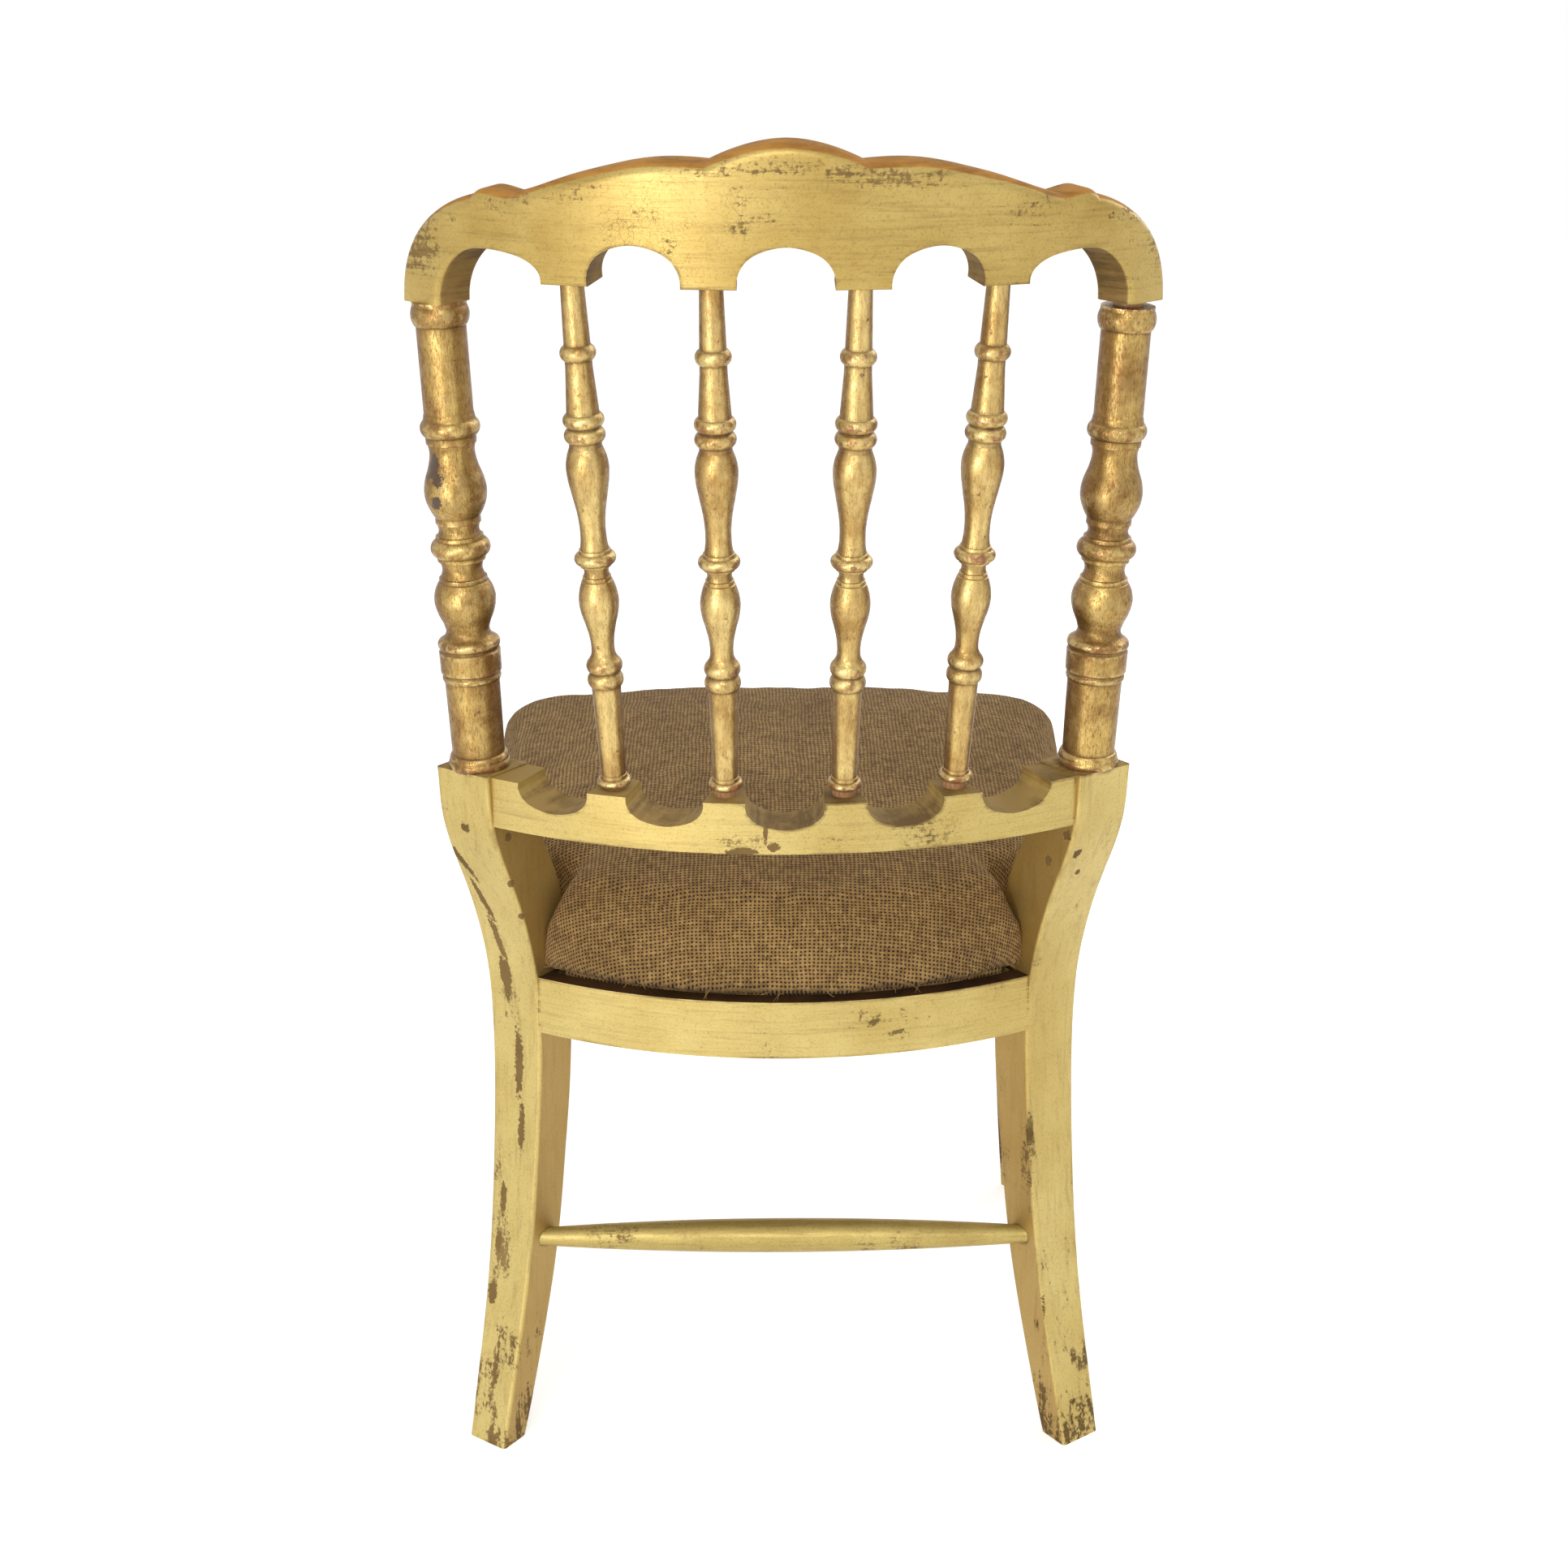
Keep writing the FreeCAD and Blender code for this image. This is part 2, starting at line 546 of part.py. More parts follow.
def arc_edge(centre, radius, start, finish):
    """Arc about a centre between two of its points, the short way."""
    middle = (start + finish) / 2 - centre
    middle = centre + middle.normalize() * radius
    return Part.Arc(start, middle, finish).toShape()


def bend_edge(start, corner, finish):
    """Smooth bend from start to finish that leans into a corner."""
    curve = Part.BezierCurve()
    curve.setPoles([start, corner, finish])
    return curve.toShape()


def bend_reach(corner_point, notch_point, corner):
    """How far a corner's bend runs towards the notch, kept short of it."""
    way = notch_point - corner_point
    reach = min(corner, way.Length * BEND_SHARE)
    return way.normalize() * reach


def leg_front_reach():
    """Distance of the rear leg's front face from the axis at seat height."""
    return BACK_RADIUS * min(row[2] for row in REAR_LEG_SHARES)


def seat_line(inset, gap, corner):
    """Closed line at an inset from the rails' outer line; gap is kept to the rear legs."""
    out = facing(LEG_ANGLE)
    side = sideways(LEG_ANGLE)
    rear_r = REAR_RAIL_RADIUS - inset
    side_r = SIDE_RADIUS - inset
    front_r = FRONT_RAIL_RADIUS - inset
    inner = side * (-LEG_WIDTH / 2 - gap)
    front = out * (leg_front_reach() - gap)
    notch_point = inner + front
    rear_corner = circle_line(REAR_CENTRE, rear_r, inner, out)
    side_corner = circle_line(SIDE_CENTRE, side_r, front, side)
    rear_turn = rear_corner + bend_reach(rear_corner, notch_point, corner)
    side_turn = side_corner + bend_reach(side_corner, notch_point, corner)
    rear_start = circle_line(REAR_CENTRE, rear_r, inner - side * corner, out)
    side_end = on_circle(SIDE_CENTRE, side_r, side_corner.y - corner, 1)
    front_corner = front_right_corner(side_r, front_r)
    side_stop = on_circle(SIDE_CENTRE, side_r, front_corner.y + FRONT_CORNER, 1)
    front_stop_x = front_corner.x - FRONT_CORNER
    front_stop = Vec(front_stop_x, FRONT_CENTRE.y - math.sqrt(front_r ** 2 - front_stop_x ** 2), 0)
    half = [arc_edge(FRONT_CENTRE, front_r, Vec(0, FRONT_CENTRE.y - front_r, 0), front_stop),
            bend_edge(front_stop, front_corner, side_stop),
            arc_edge(SIDE_CENTRE, side_r, side_stop, side_end),
            bend_edge(side_end, side_corner, side_turn),
            Part.makeLine(side_turn, notch_point),
            Part.makeLine(notch_point, rear_turn),
            bend_edge(rear_turn, rear_corner, rear_start),
            arc_edge(REAR_CENTRE, rear_r, rear_start, REAR_CENTRE + Vec(0, rear_r, 0))]
    other = [mirrored(edge) for edge in half[::-1]]
    return Part.Wire(half + other)


def front_right_corner(side_r, front_r):
    """Where the side circle meets the front circle, found by halving."""
    low = FRONT_LEG_Y - FRONT_LEG_SIZE
    high = FRONT_LEG_Y + FRONT_LEG_SIZE
    for _ in range(HALVINGS):
        middle = (low + high) / 2
        point = on_circle(SIDE_CENTRE, side_r, middle, 1)
        inside = (point - FRONT_CENTRE).Length < front_r
        low, high = (low, middle) if inside else (middle, high)
    return point


def prism(wire, low, high):
    """Upright prism on a plan line between two heights."""
    face = Part.Face(wire)
    face.translate(UP * low)
    return face.extrude(UP * (high - low))


def seat_height(y_level):
    """Height of the rails' top plane, which rises evenly to the front."""
    return SEAT_LEVEL + SEAT_SLOPE * (REAR_RAIL_Y - y_level)


def seat_slab(low, high):
    """Wide slab between two planes that rise to the front, at heights from the rail tops."""
    points = []
    for y, h in ((REAR_RAIL_Y + OVERRUN, low), (FRONT_RAIL_Y - OVERRUN, low),
                 (FRONT_RAIL_Y - OVERRUN, high), (REAR_RAIL_Y + OVERRUN, high),
                 (REAR_RAIL_Y + OVERRUN, low)):
        points.append(Vec(-WORK_HEIGHT, y, seat_height(y) + h))
    return Part.Face(Part.makePolygon(points)).extrude(Vec(WORK_HEIGHT + WORK_HEIGHT, 0, 0))


def seat_layer(wire, low, high):
    """Plumb-sided layer of the seat between two sloping planes."""
    return prism(wire, 0, WORK_HEIGHT).common(seat_slab(low, high))


def arc_strip(centre, radius, width, start_way, end_way, low, high):
    """Upright strip of a ring between two unit directions from its centre."""
    middle_way = (start_way + end_way).normalize()
    ends = []
    for reach in (radius, radius - width):
        ends.append([centre + way * reach for way in (start_way, middle_way, end_way)])
    wire = Part.Wire([Part.Arc(*ends[0]).toShape(), Part.makeLine(ends[0][2], ends[1][2]),
                      Part.Arc(*ends[1]).toShape(), Part.makeLine(ends[1][0], ends[0][0])])
    return prism(wire, low, high)


# Front legs

FRONT_CORNER_WAY = Vec(1, -1, 0).normalize()
FRONT_FACE_WAY = Vec(1, 1, 0).normalize()


def front_leg_blank():
    """Square leg turned 45 degrees; the foot narrows and sweeps out along its diagonal."""
    top = seat_height(FRONT_LEG_Y) + OVERRUN
    wires = []
    for share in FRONT_LEG_SHARES:
        level = top * share
        taper = max(0.0, 1.0 - share / FRONT_TAPER_SHARE)
        size = FRONT_LEG_SIZE - (FRONT_LEG_SIZE - FRONT_FOOT_SIZE) * taper
        sweep = FRONT_SWEEP * taper ** 2
        centre = Vec(FRONT_LEG_X, FRONT_LEG_Y, level) + FRONT_CORNER_WAY * sweep
        wires.append(rounded_section(centre, FRONT_FACE_WAY, FRONT_CORNER_WAY, size / 2, size / 2,
                                     LEG_EDGE, LEG_EDGE))
    return Part.makeLoft(wires, True, False).cut(seat_slab(0, WORK_HEIGHT))


# Frame of the chair: shape every timber, then cut the joints

WELL = seat_layer(seat_line(LIP, LEG_GAP, FRAME_CORNER), -LEDGE, WORK_HEIGHT)
rear_leg = rear_leg_blank()
front_leg = front_leg_blank()

rear_way = circle_line(REAR_CENTRE, REAR_RAIL_RADIUS, facing(LEG_ANGLE) * BACK_RADIUS / 2,
                       facing(LEG_ANGLE)) - REAR_CENTRE
rear_way.normalize()
rear_rail = arc_strip(REAR_CENTRE, REAR_RAIL_RADIUS, RAIL_THICK, rear_way,
                      Vec(-rear_way.x, rear_way.y, 0), SEAT_LEVEL - RAIL_HEIGHT, SEAT_LEVEL)
side_start = (Vec(*SIDE_RAIL_REAR, 0) + facing(LEG_ANGLE) * (LEG_WIDTH / 2) - SIDE_CENTRE).normalize()
side_end = (Vec(FRONT_LEG_X, FRONT_LEG_Y, 0) - SIDE_CENTRE).normalize()
side_rail = arc_strip(SIDE_CENTRE, SIDE_RADIUS, RAIL_THICK, side_start, side_end, 0, WORK_HEIGHT)
side_rail = side_rail.common(seat_slab(-RAIL_HEIGHT, 0))
front_way = (Vec(FRONT_LEG_X, FRONT_LEG_Y, 0) - FRONT_CENTRE).normalize()
front_rail = arc_strip(FRONT_CENTRE, FRONT_RAIL_RADIUS, RAIL_THICK, front_way,
                       Vec(-front_way.x, front_way.y, 0), 0, WORK_HEIGHT)
front_rail = front_rail.common(seat_slab(-RAIL_HEIGHT, 0))

# Tenons stand square on the leg's face and reach back into the rail's end
leg_out = facing(LEG_ANGLE)
leg_side = sideways(LEG_ANGLE)
tenon_sink = TENON_DROP - TENON_HEIGHT / 2
leg_mid = BACK_RADIUS * (REAR_LEG_SHARES[9][1] + REAR_LEG_SHARES[9][2]) / 2
back_tenon = plan_box(leg_out * BACK_RADIUS - leg_side * (LEG_WIDTH / 2)
                      + UP * (BLOCK_TOP - BACK_TENON_DROP), leg_side, TENON_LONG, TENON_THICK / 2,
                      BACK_TENON_HEIGHT)
rear_tenon = plan_box(leg_out * leg_mid - leg_side * (LEG_WIDTH / 2) + UP * (SEAT_LEVEL - tenon_sink),
                      leg_side, TENON_LONG, TENON_THICK / 2, TENON_HEIGHT)
side_heart = leg_out * leg_front_reach()
side_rise = UP * (seat_height(side_heart.y) - tenon_sink)
side_tenon = plan_box(side_heart + side_rise, leg_out, TENON_LONG, TENON_THICK / 2, TENON_HEIGHT)
front_rise = UP * (seat_height(FRONT_LEG_Y) - tenon_sink)
front_heart = Vec(FRONT_LEG_X, FRONT_LEG_Y, 0) + front_rise
side_front_tenon = plan_box(front_heart + FRONT_FACE_WAY * (FRONT_LEG_SIZE / 2), FRONT_FACE_WAY,
                            TENON_LONG, TENON_THICK / 2, TENON_HEIGHT)
front_tenon = plan_box(front_heart - FRONT_FACE_WAY * (FRONT_LEG_SIZE / 2), FRONT_FACE_WAY,
                       TENON_LONG, TENON_THICK / 2, TENON_HEIGHT)


def seated(rail, faces, legs, tenons):
    """Trim a rail at the legs' faces, cope it to them, then add the tenons that enter them."""
    for heart, way in faces:
        start = Vec(heart.x, heart.y, WORK_HEIGHT / 2) + way * (OVERRUN + LEG_EDGE / 2)
        rail = rail.cut(plan_box(start, way, OVERRUN, WORK_HEIGHT / 2, WORK_HEIGHT))
    for leg in legs:
        rail = rail.cut(leg)
    for tenon in tenons:
        rail = rail.fuse(tenon)
    return rail.removeSplitter()


back_rail = lower_back_rail()
other_leg = mirrored(rear_leg)
other_front = mirrored(front_leg)
inner_heart = leg_out * BACK_RADIUS - leg_side * (LEG_WIDTH / 2)
inner_faces = ((inner_heart, leg_side), (flipped(inner_heart), flipped(leg_side)))
front_inner = front_heart - FRONT_FACE_WAY * (FRONT_LEG_SIZE / 2)
front_outer = front_heart + FRONT_FACE_WAY * (FRONT_LEG_SIZE / 2)
front_faces = ((front_inner, FRONT_FACE_WAY), (flipped(front_inner), flipped(FRONT_FACE_WAY)))
side_faces = ((side_heart, leg_out), (front_outer, -FRONT_FACE_WAY))
back_rail = seated(back_rail, inner_faces, (rear_leg, other_leg),
                   (back_tenon, mirrored(back_tenon)))
rear_rail = seated(rear_rail.cut(WELL), inner_faces, (rear_leg, other_leg),
                   (rear_tenon, mirrored(rear_tenon)))
side_rail = seated(side_rail.cut(WELL), side_faces, (rear_leg, front_leg),
                   (side_tenon, side_front_tenon))
front_rail = seated(front_rail.cut(WELL), front_faces, (front_leg, other_front),
                    (front_tenon, mirrored(front_tenon)))
stretcher = rear_stretcher()
for cutter in (back_tenon, rear_tenon, side_tenon, stretcher):
    rear_leg = rear_leg.cut(cutter)
for cutter in (side_front_tenon, front_tenon, WELL):
    front_leg = front_leg.cut(cutter)

posts = {"left": back_post(1, POST_GAP_LEFT), "right": back_post(-1, POST_GAP_RIGHT)}
spindles = [spindle(index) for index in range(len(SPINDLE_FOOT_ANGLES))]
crest = crest_board().fuse(crest_shoulder(1)).fuse(crest_shoulder(-1)).removeSplitter()
for sign in (1, -1):
    foot, head, axis = post_line(sign)
    across = UP.cross(axis).normalize()
    trim = Part.makeCylinder(OVERRUN, OVERRUN, head, -axis)
    crest = crest.cut(trim).cut(rod(head, axis, POST_TENON, POST_TENON_RADIUS))
for item in spindles:
    crest = crest.cut(item)
    back_rail = back_rail.cut(item)
rear_legs = {"left": rear_leg.cut(posts["left"]), "right": mirrored(rear_leg).cut(posts["right"])}


# Corner blocks, each with two screws

def corner_block(corner, inwards, rails):
    """Three-cornered block glued into an inner corner under the seat, with two screws through it."""
    along = UP.cross(inwards)
    tip = corner - inwards * BLOCK_REACH
    base = corner + inwards * (BLOCK_REACH / 2)
    spread = along * (BLOCK_REACH + BLOCK_REACH / 2)
    high = -LEDGE - LEDGE_GAP
    block = seat_layer(Part.makePolygon([tip, base + spread, base - spread, tip]),
                       high - BLOCK_HEIGHT, high)
    for rail in rails:
        block = block.cut(rail)
    middle = seat_height(base.y) + high - BLOCK_HEIGHT / 2
    block = min(block.Solids, key=lambda solid: (solid.CenterOfMass - base - UP * middle).Length)
    screws = []
    for side in (1, -1):
        head = base + along * (SCREW_SPREAD * side)
        head = head + UP * (seat_height(head.y) + high - BLOCK_HEIGHT / 2)
        body = rod(head, -inwards, SCREW_LONG, SCREW_RADIUS)
        cap = rod(head, -inwards, SCREW_HEAD_DEPTH, SCREW_HEAD_RADIUS)
        slot = plan_box(head, inwards, SCREW_HEAD_DEPTH / 2, SCREW_SLOT / 2,
                        SCREW_HEAD_RADIUS + SCREW_HEAD_RADIUS)
        screws.append((body.fuse(cap), slot))
    return block, screws


rails_right = [front_leg, rear_leg, side_rail, front_rail, rear_rail]
front_corner = Vec(FRONT_LEG_X, FRONT_LEG_Y, 0) - FRONT_CORNER_WAY * (FRONT_LEG_SIZE / 2)
rear_corner = leg_out * leg_front_reach() - leg_side * (LEG_WIDTH / 2)
front_block, front_screws = corner_block(front_corner, -FRONT_CORNER_WAY, rails_right)
rear_in = -(leg_out + leg_side).normalize()
rear_block, rear_screws = corner_block(rear_corner, rear_in, rails_right)
screw_solids = []
for body, slot in front_screws + rear_screws:
    front_block = front_block.cut(body)
    rear_block = rear_block.cut(body)
    front_leg = front_leg.cut(body)
    rear_legs["left"] = rear_legs["left"].cut(body)
    rear_legs["right"] = rear_legs["right"].cut(mirrored(body))
    side_rail = side_rail.cut(body)
    front_rail = front_rail.cut(body).cut(mirrored(body))
    rear_rail = rear_rail.cut(body).cut(mirrored(body))
    screw = body.cut(slot)
    screw_solids += [screw, mirrored(screw)]


# Drop-in seat

levels = [-LEDGE + LEDGE_GAP]
for thick in (CLOTH, FRAME_THICK, WEB_THICK, WEB_THICK, CLOTH):
    levels.append(levels[-1] + thick)
FRAME_INSET = LIP + SLOT + CLOTH
frame = seat_layer(seat_line(FRAME_INSET, LEG_GAP + SLOT + CLOTH, FRAME_CORNER), levels[1], levels[2])


def wedge_between(x_rear, x_front):
    """Upright block between a slanting line on each side, wide at the front."""
    rear = REAR_RAIL_Y + OVERRUN
    front = FRONT_RAIL_Y - OVERRUN
    points = [Vec(x_rear, rear, 0), Vec(x_front, front, 0), Vec(-x_front, front, 0),
              Vec(-x_rear, rear, 0), Vec(x_rear, rear, 0)]
    return prism(Part.makePolygon(points), 0, WORK_HEIGHT)


def cross_block(y_low, y_high):
    """Upright block across the whole chair between two y planes."""
    points = [Vec(-WORK_HEIGHT, y_low, 0), Vec(WORK_HEIGHT, y_low, 0), Vec(WORK_HEIGHT, y_high, 0),
              Vec(-WORK_HEIGHT, y_high, 0), Vec(-WORK_HEIGHT, y_low, 0)]
    return prism(Part.makePolygon(points), 0, WORK_HEIGHT)


middle = wedge_between(FRAME_SIDE_REAR, FRAME_SIDE_FRONT)
frame_middle = frame.common(middle)
frame_front = frame_middle.common(cross_block(FRONT_RAIL_Y, FRAME_FRONT_Y))
frame_rear = frame_middle.common(cross_block(FRAME_REAR_Y, REAR_RAIL_Y))
frame_sides = sorted(frame.cut(middle).Solids, key=lambda solid: solid.CenterOfMass.x)
tongue_low, tongue_high = [levels[1] + FRAME_THICK * share for share in TONGUE_SHARES]
tongue = seat_slab(tongue_low, tongue_high)
tongue = tongue.common(wedge_between(FRAME_SIDE_REAR + TENON_LONG, FRAME_SIDE_FRONT + TENON_LONG))
tongue_front = tongue.common(cross_block(FRAME_FRONT_Y - TENON_HEIGHT, FRAME_FRONT_Y - TENON_THICK / 2))
tongue_rear = tongue.common(cross_block(FRAME_REAR_Y + TENON_THICK / 2, FRAME_REAR_Y + TENON_HEIGHT))
frame_front = frame_front.fuse(tongue_front).removeSplitter()
frame_rear = frame_rear.fuse(tongue_rear).removeSplitter()
frame_sides = [side.cut(tongue_front).cut(tongue_rear) for side in frame_sides]

web_line = seat_line(FRAME_INSET + WEB_INSET, LEG_GAP + SLOT + CLOTH + WEB_INSET, FRAME_CORNER)
web_low = seat_layer(web_line, levels[2], levels[3])
web_high = seat_layer(web_line, levels[3], levels[4])
across_straps = []
for share in ACROSS_STRAP_SHARES:
    y = FRONT_RAIL_Y + (REAR_RAIL_Y - FRONT_RAIL_Y) * share
    across_straps.append(web_low.common(cross_block(y - WEB_WIDTH / 2, y + WEB_WIDTH / 2)))
along_straps = []
for share in ALONG_STRAP_SHARES:
    x = FRONT_LEG_X * share
    points = [Vec(x - WEB_WIDTH / 2, -WORK_HEIGHT, 0), Vec(x + WEB_WIDTH / 2, -WORK_HEIGHT, 0),
              Vec(x + WEB_WIDTH / 2, WORK_HEIGHT, 0), Vec(x - WEB_WIDTH / 2, WORK_HEIGHT, 0),
              Vec(x - WEB_WIDTH / 2, -WORK_HEIGHT, 0)]
    along_straps.append(web_high.common(prism(Part.makePolygon(points), 0, WORK_HEIGHT)))
base_cloth = seat_layer(web_line, levels[4], levels[5])

skirt_line = seat_line(LIP + SLOT, LEG_GAP + SLOT, FRAME_CORNER)
bed_line = seat_line(FRAME_INSET - CLOTH_GAP, LEG_GAP + SLOT + CLOTH - CLOTH_GAP, FRAME_CORNER)
hem_line = seat_line(FRAME_INSET + TURN_UNDER, LEG_GAP + SLOT + TURN_UNDER, FRAME_CORNER)
skirt = seat_layer(skirt_line, levels[0], levels[5])
skirt = skirt.cut(seat_layer(bed_line, levels[1] - CLOTH_GAP, WORK_HEIGHT))
skirt = skirt.cut(seat_layer(hem_line, -OVERRUN, WORK_HEIGHT))


def cushion_wire(row, scale):
    """One level line of the cushion, drawn in about its middle; the crown rises as 1 - scale squared."""
    height, swell, corner = row
    rise = height + (1.0 - height) * (1.0 - scale ** 2)
    wire = seat_line(LIP - swell * CUSHION_BULGE, LEG_GAP, corner * CUSHION_CORNER)
    wire.scale(scale, Vec(0, CUSHION_CENTRE_Y, 0))
    wire.translate(UP * (rise * CUSHION_HEIGHT))
    return wire


def cushion():
    """Stuffed cushion: upright bulging sides that draw in, under a shallow crown."""
    groups = [[cushion_wire(row, 1.0) for row in group] for group in CUSHION_SHARES]
    groups.append([cushion_wire(CUSHION_SHARES[-1][-1], scale) for scale in CROWN_SHARES])
    pad = None
    for wires in groups:
        piece = Part.makeLoft(wires, True, False)
        pad = piece if pad is None else pad.fuse(piece)
    slope = FreeCAD.Matrix()
    slope.A32 = -SEAT_SLOPE
    slope.A34 = seat_height(0) + CUSHION_LIFT
    return pad.transformGeometry(slope)


def tack_places():
    """Evenly spaced points on a line inside the frame's edge, clear of the legs."""
    line = seat_line(FRAME_INSET + TACK_INSET, LEG_GAP + SLOT + TACK_INSET, FRAME_CORNER)
    count = int(line.Length / TACK_PITCH)
    return line.discretize(Number=count + 1)[:-1]


tacks = []
for place in tack_places():
    rise = seat_height(place.y) + levels[0]
    start = place + UP * (rise - TACK_HEAD_HEIGHT)
    pin = rod(start, UP, TACK_LONG, TACK_PIN_RADIUS)
    tacks.append(pin.fuse(rod(start, UP, TACK_HEAD_HEIGHT, TACK_HEAD_RADIUS)))
for tack in tacks:
    skirt = skirt.cut(tack)
    frame_front = frame_front.cut(tack)
    frame_rear = frame_rear.cut(tack)
    frame_sides = [side.cut(tack) for side in frame_sides]

nodes = {
    "crest_rail": crest,
    "lower_back_rail": back_rail,
    "back_post_left": posts["left"],
    "back_post_right": posts["right"],
    "rear_leg_left": rear_legs["left"],
    "rear_leg_right": rear_legs["right"],
    "front_leg_left": front_leg,
    "front_leg_right": mirrored(front_leg),
    "rear_seat_rail": rear_rail,
    "front_seat_rail": front_rail,
    "side_seat_rail_left": side_rail,
    "side_seat_rail_right": mirrored(side_rail),
    "rear_stretcher": stretcher,
    "corner_block_front_left": front_block,
    "corner_block_front_right": mirrored(front_block),
    "corner_block_rear_left": rear_block,
    "corner_block_rear_right": mirrored(rear_block),
    "corner_block_screws": Part.makeCompound(screw_solids),
    "seat_frame_front": frame_front,
    "seat_frame_rear": frame_rear,
    "seat_frame_right": frame_sides[0],
    "seat_frame_left": frame_sides[1],
    "webbing_across": Part.makeCompound(across_straps),
    "webbing_along": Part.makeCompound(along_straps),
    "base_cloth": base_cloth,
    "cover_skirt": skirt,
    "cover_tacks": Part.makeCompound(tacks),
    "seat_cushion": cushion(),
}
for index, shape in enumerate(spindles):
    nodes["spindle_%d" % (index + 1)] = shape

# Shift so that the origin lies under the middle of the whole chair
box = Part.makeCompound(list(nodes.values())).optimalBoundingBox(False, False)
shift = Vec(-box.Center.x, -box.Center.y, 0)
print("shift %.3f %.3f, size %.2f %.2f %.2f, low %.3f" % (
    shift.x, shift.y, box.XLength, box.YLength, box.ZLength, box.ZMin))
for name, shape in nodes.items():
    solids = shape.Solids
    if len(solids) == 1:
        shape = solids[0]
    shape.translate(shift)
    if not shape.isValid() or not solids:
        print("check", name, len(solids), shape.isValid())
    shape.exportStep("parts/%s.step" % name)
print(len(nodes), "nodes")
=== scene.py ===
import bpy
import math
import numpy as np
from mathutils import Euler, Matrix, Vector


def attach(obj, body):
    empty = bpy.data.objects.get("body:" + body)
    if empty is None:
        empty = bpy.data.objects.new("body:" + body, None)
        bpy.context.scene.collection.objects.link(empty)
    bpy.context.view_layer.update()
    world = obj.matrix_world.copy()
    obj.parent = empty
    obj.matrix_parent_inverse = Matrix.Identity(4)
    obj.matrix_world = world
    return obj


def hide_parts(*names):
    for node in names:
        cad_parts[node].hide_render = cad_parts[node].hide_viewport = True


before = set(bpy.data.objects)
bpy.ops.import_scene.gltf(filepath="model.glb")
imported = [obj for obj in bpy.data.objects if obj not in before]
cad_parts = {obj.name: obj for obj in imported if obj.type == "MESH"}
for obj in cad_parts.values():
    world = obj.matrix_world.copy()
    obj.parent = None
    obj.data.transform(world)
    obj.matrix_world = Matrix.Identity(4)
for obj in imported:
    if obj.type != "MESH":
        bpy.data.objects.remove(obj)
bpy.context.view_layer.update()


# The view from behind and from a little above the chair's back, through a lens somewhat longer
# than normal. It stands 15 mm left of the chair's middle and keeps the bowed back centred.
def linked(name, data):
    """A new object in the scene."""
    made = bpy.data.objects.new(name, data)
    bpy.context.scene.collection.objects.link(made)
    return made


EYE = (0.015, 1.49887, 0.938)
LENS_MM = 51.81
FILM_MM = 36.0
DOWN = math.radians(18.64)
ASIDE = math.radians(0.63)

lens = bpy.data.cameras.new("view_from_behind")
lens.sensor_width = FILM_MM
lens.lens = LENS_MM
lens.clip_start = 0.05
camera = linked("view_from_behind", lens)
camera.location = EYE
camera.rotation_euler = Euler((math.pi / 2 - DOWN, 0, math.pi - ASIDE))
bpy.context.scene.camera = camera
bpy.context.scene.view_settings.view_transform = "Standard"


# The studio: a matt white floor that runs out of sight, an even white sky and three soft boxes:
# a small one low on the left of the view, one above the eye, and a large one on the right beyond
# the chair. The floor keeps the chair's soft shadow.
def linear(hex_colour):
    """sRGB hex to linear light: ((c + 0.055) / 1.055) to the power 2.4, or c / 12.92 near black."""
    parts = [int(hex_colour[i:i + 2], 16) / 255 for i in (1, 3, 5)]
    return [c / 12.92 if c < 0.04045 else ((c + 0.055) / 1.055) ** 2.4 for c in parts] + [1.0]


def add(tree, kind, inputs=(), operation=None, **settings):
    """Adds one shader node with its settings, and sets or links its sockets: a list fills them in
    order, a dictionary by key. A node given as a value stands for its first output in use."""
    made = tree.nodes.new("ShaderNode" + kind)
    if operation:
        made.operation = operation
    for key, value in settings.items():
        setattr(made, key, value)
    for key, value in inputs.items() if isinstance(inputs, dict) else enumerate(inputs):
        if isinstance(value, bpy.types.Node):
            value = next(socket for socket in value.outputs if socket.enabled)
        if isinstance(value, bpy.types.NodeSocket):
            tree.links.new(value, made.inputs[key])
        else:
            made.inputs[key].default_value = value
    return made


def fresh(name):
    """An empty material and its node tree."""
    material = bpy.data.materials.new(name)
    material.use_nodes = True
    material.node_tree.nodes.clear()
    return material, material.node_tree


def seen_share(tree):
    """1 for what the eye sees straight, in a gloss or through a clear surface, otherwise 0."""
    rays = add(tree, "LightPath").outputs
    seen = add(tree, "Math", [rays["Is Camera Ray"], rays["Is Glossy Ray"]], "MAXIMUM")
    return add(tree, "Math", [seen, rays["Is Transmission Ray"]], "MAXIMUM")


def built(name, points, *faces):
    """A mesh from an array of points and arrays of faces."""
    mesh = bpy.data.meshes.new(name)
    every_face = [face for group in faces for face in np.asarray(group).tolist()]
    mesh.from_pydata(points.reshape(-1, 3).tolist(), [], every_face)
    return mesh


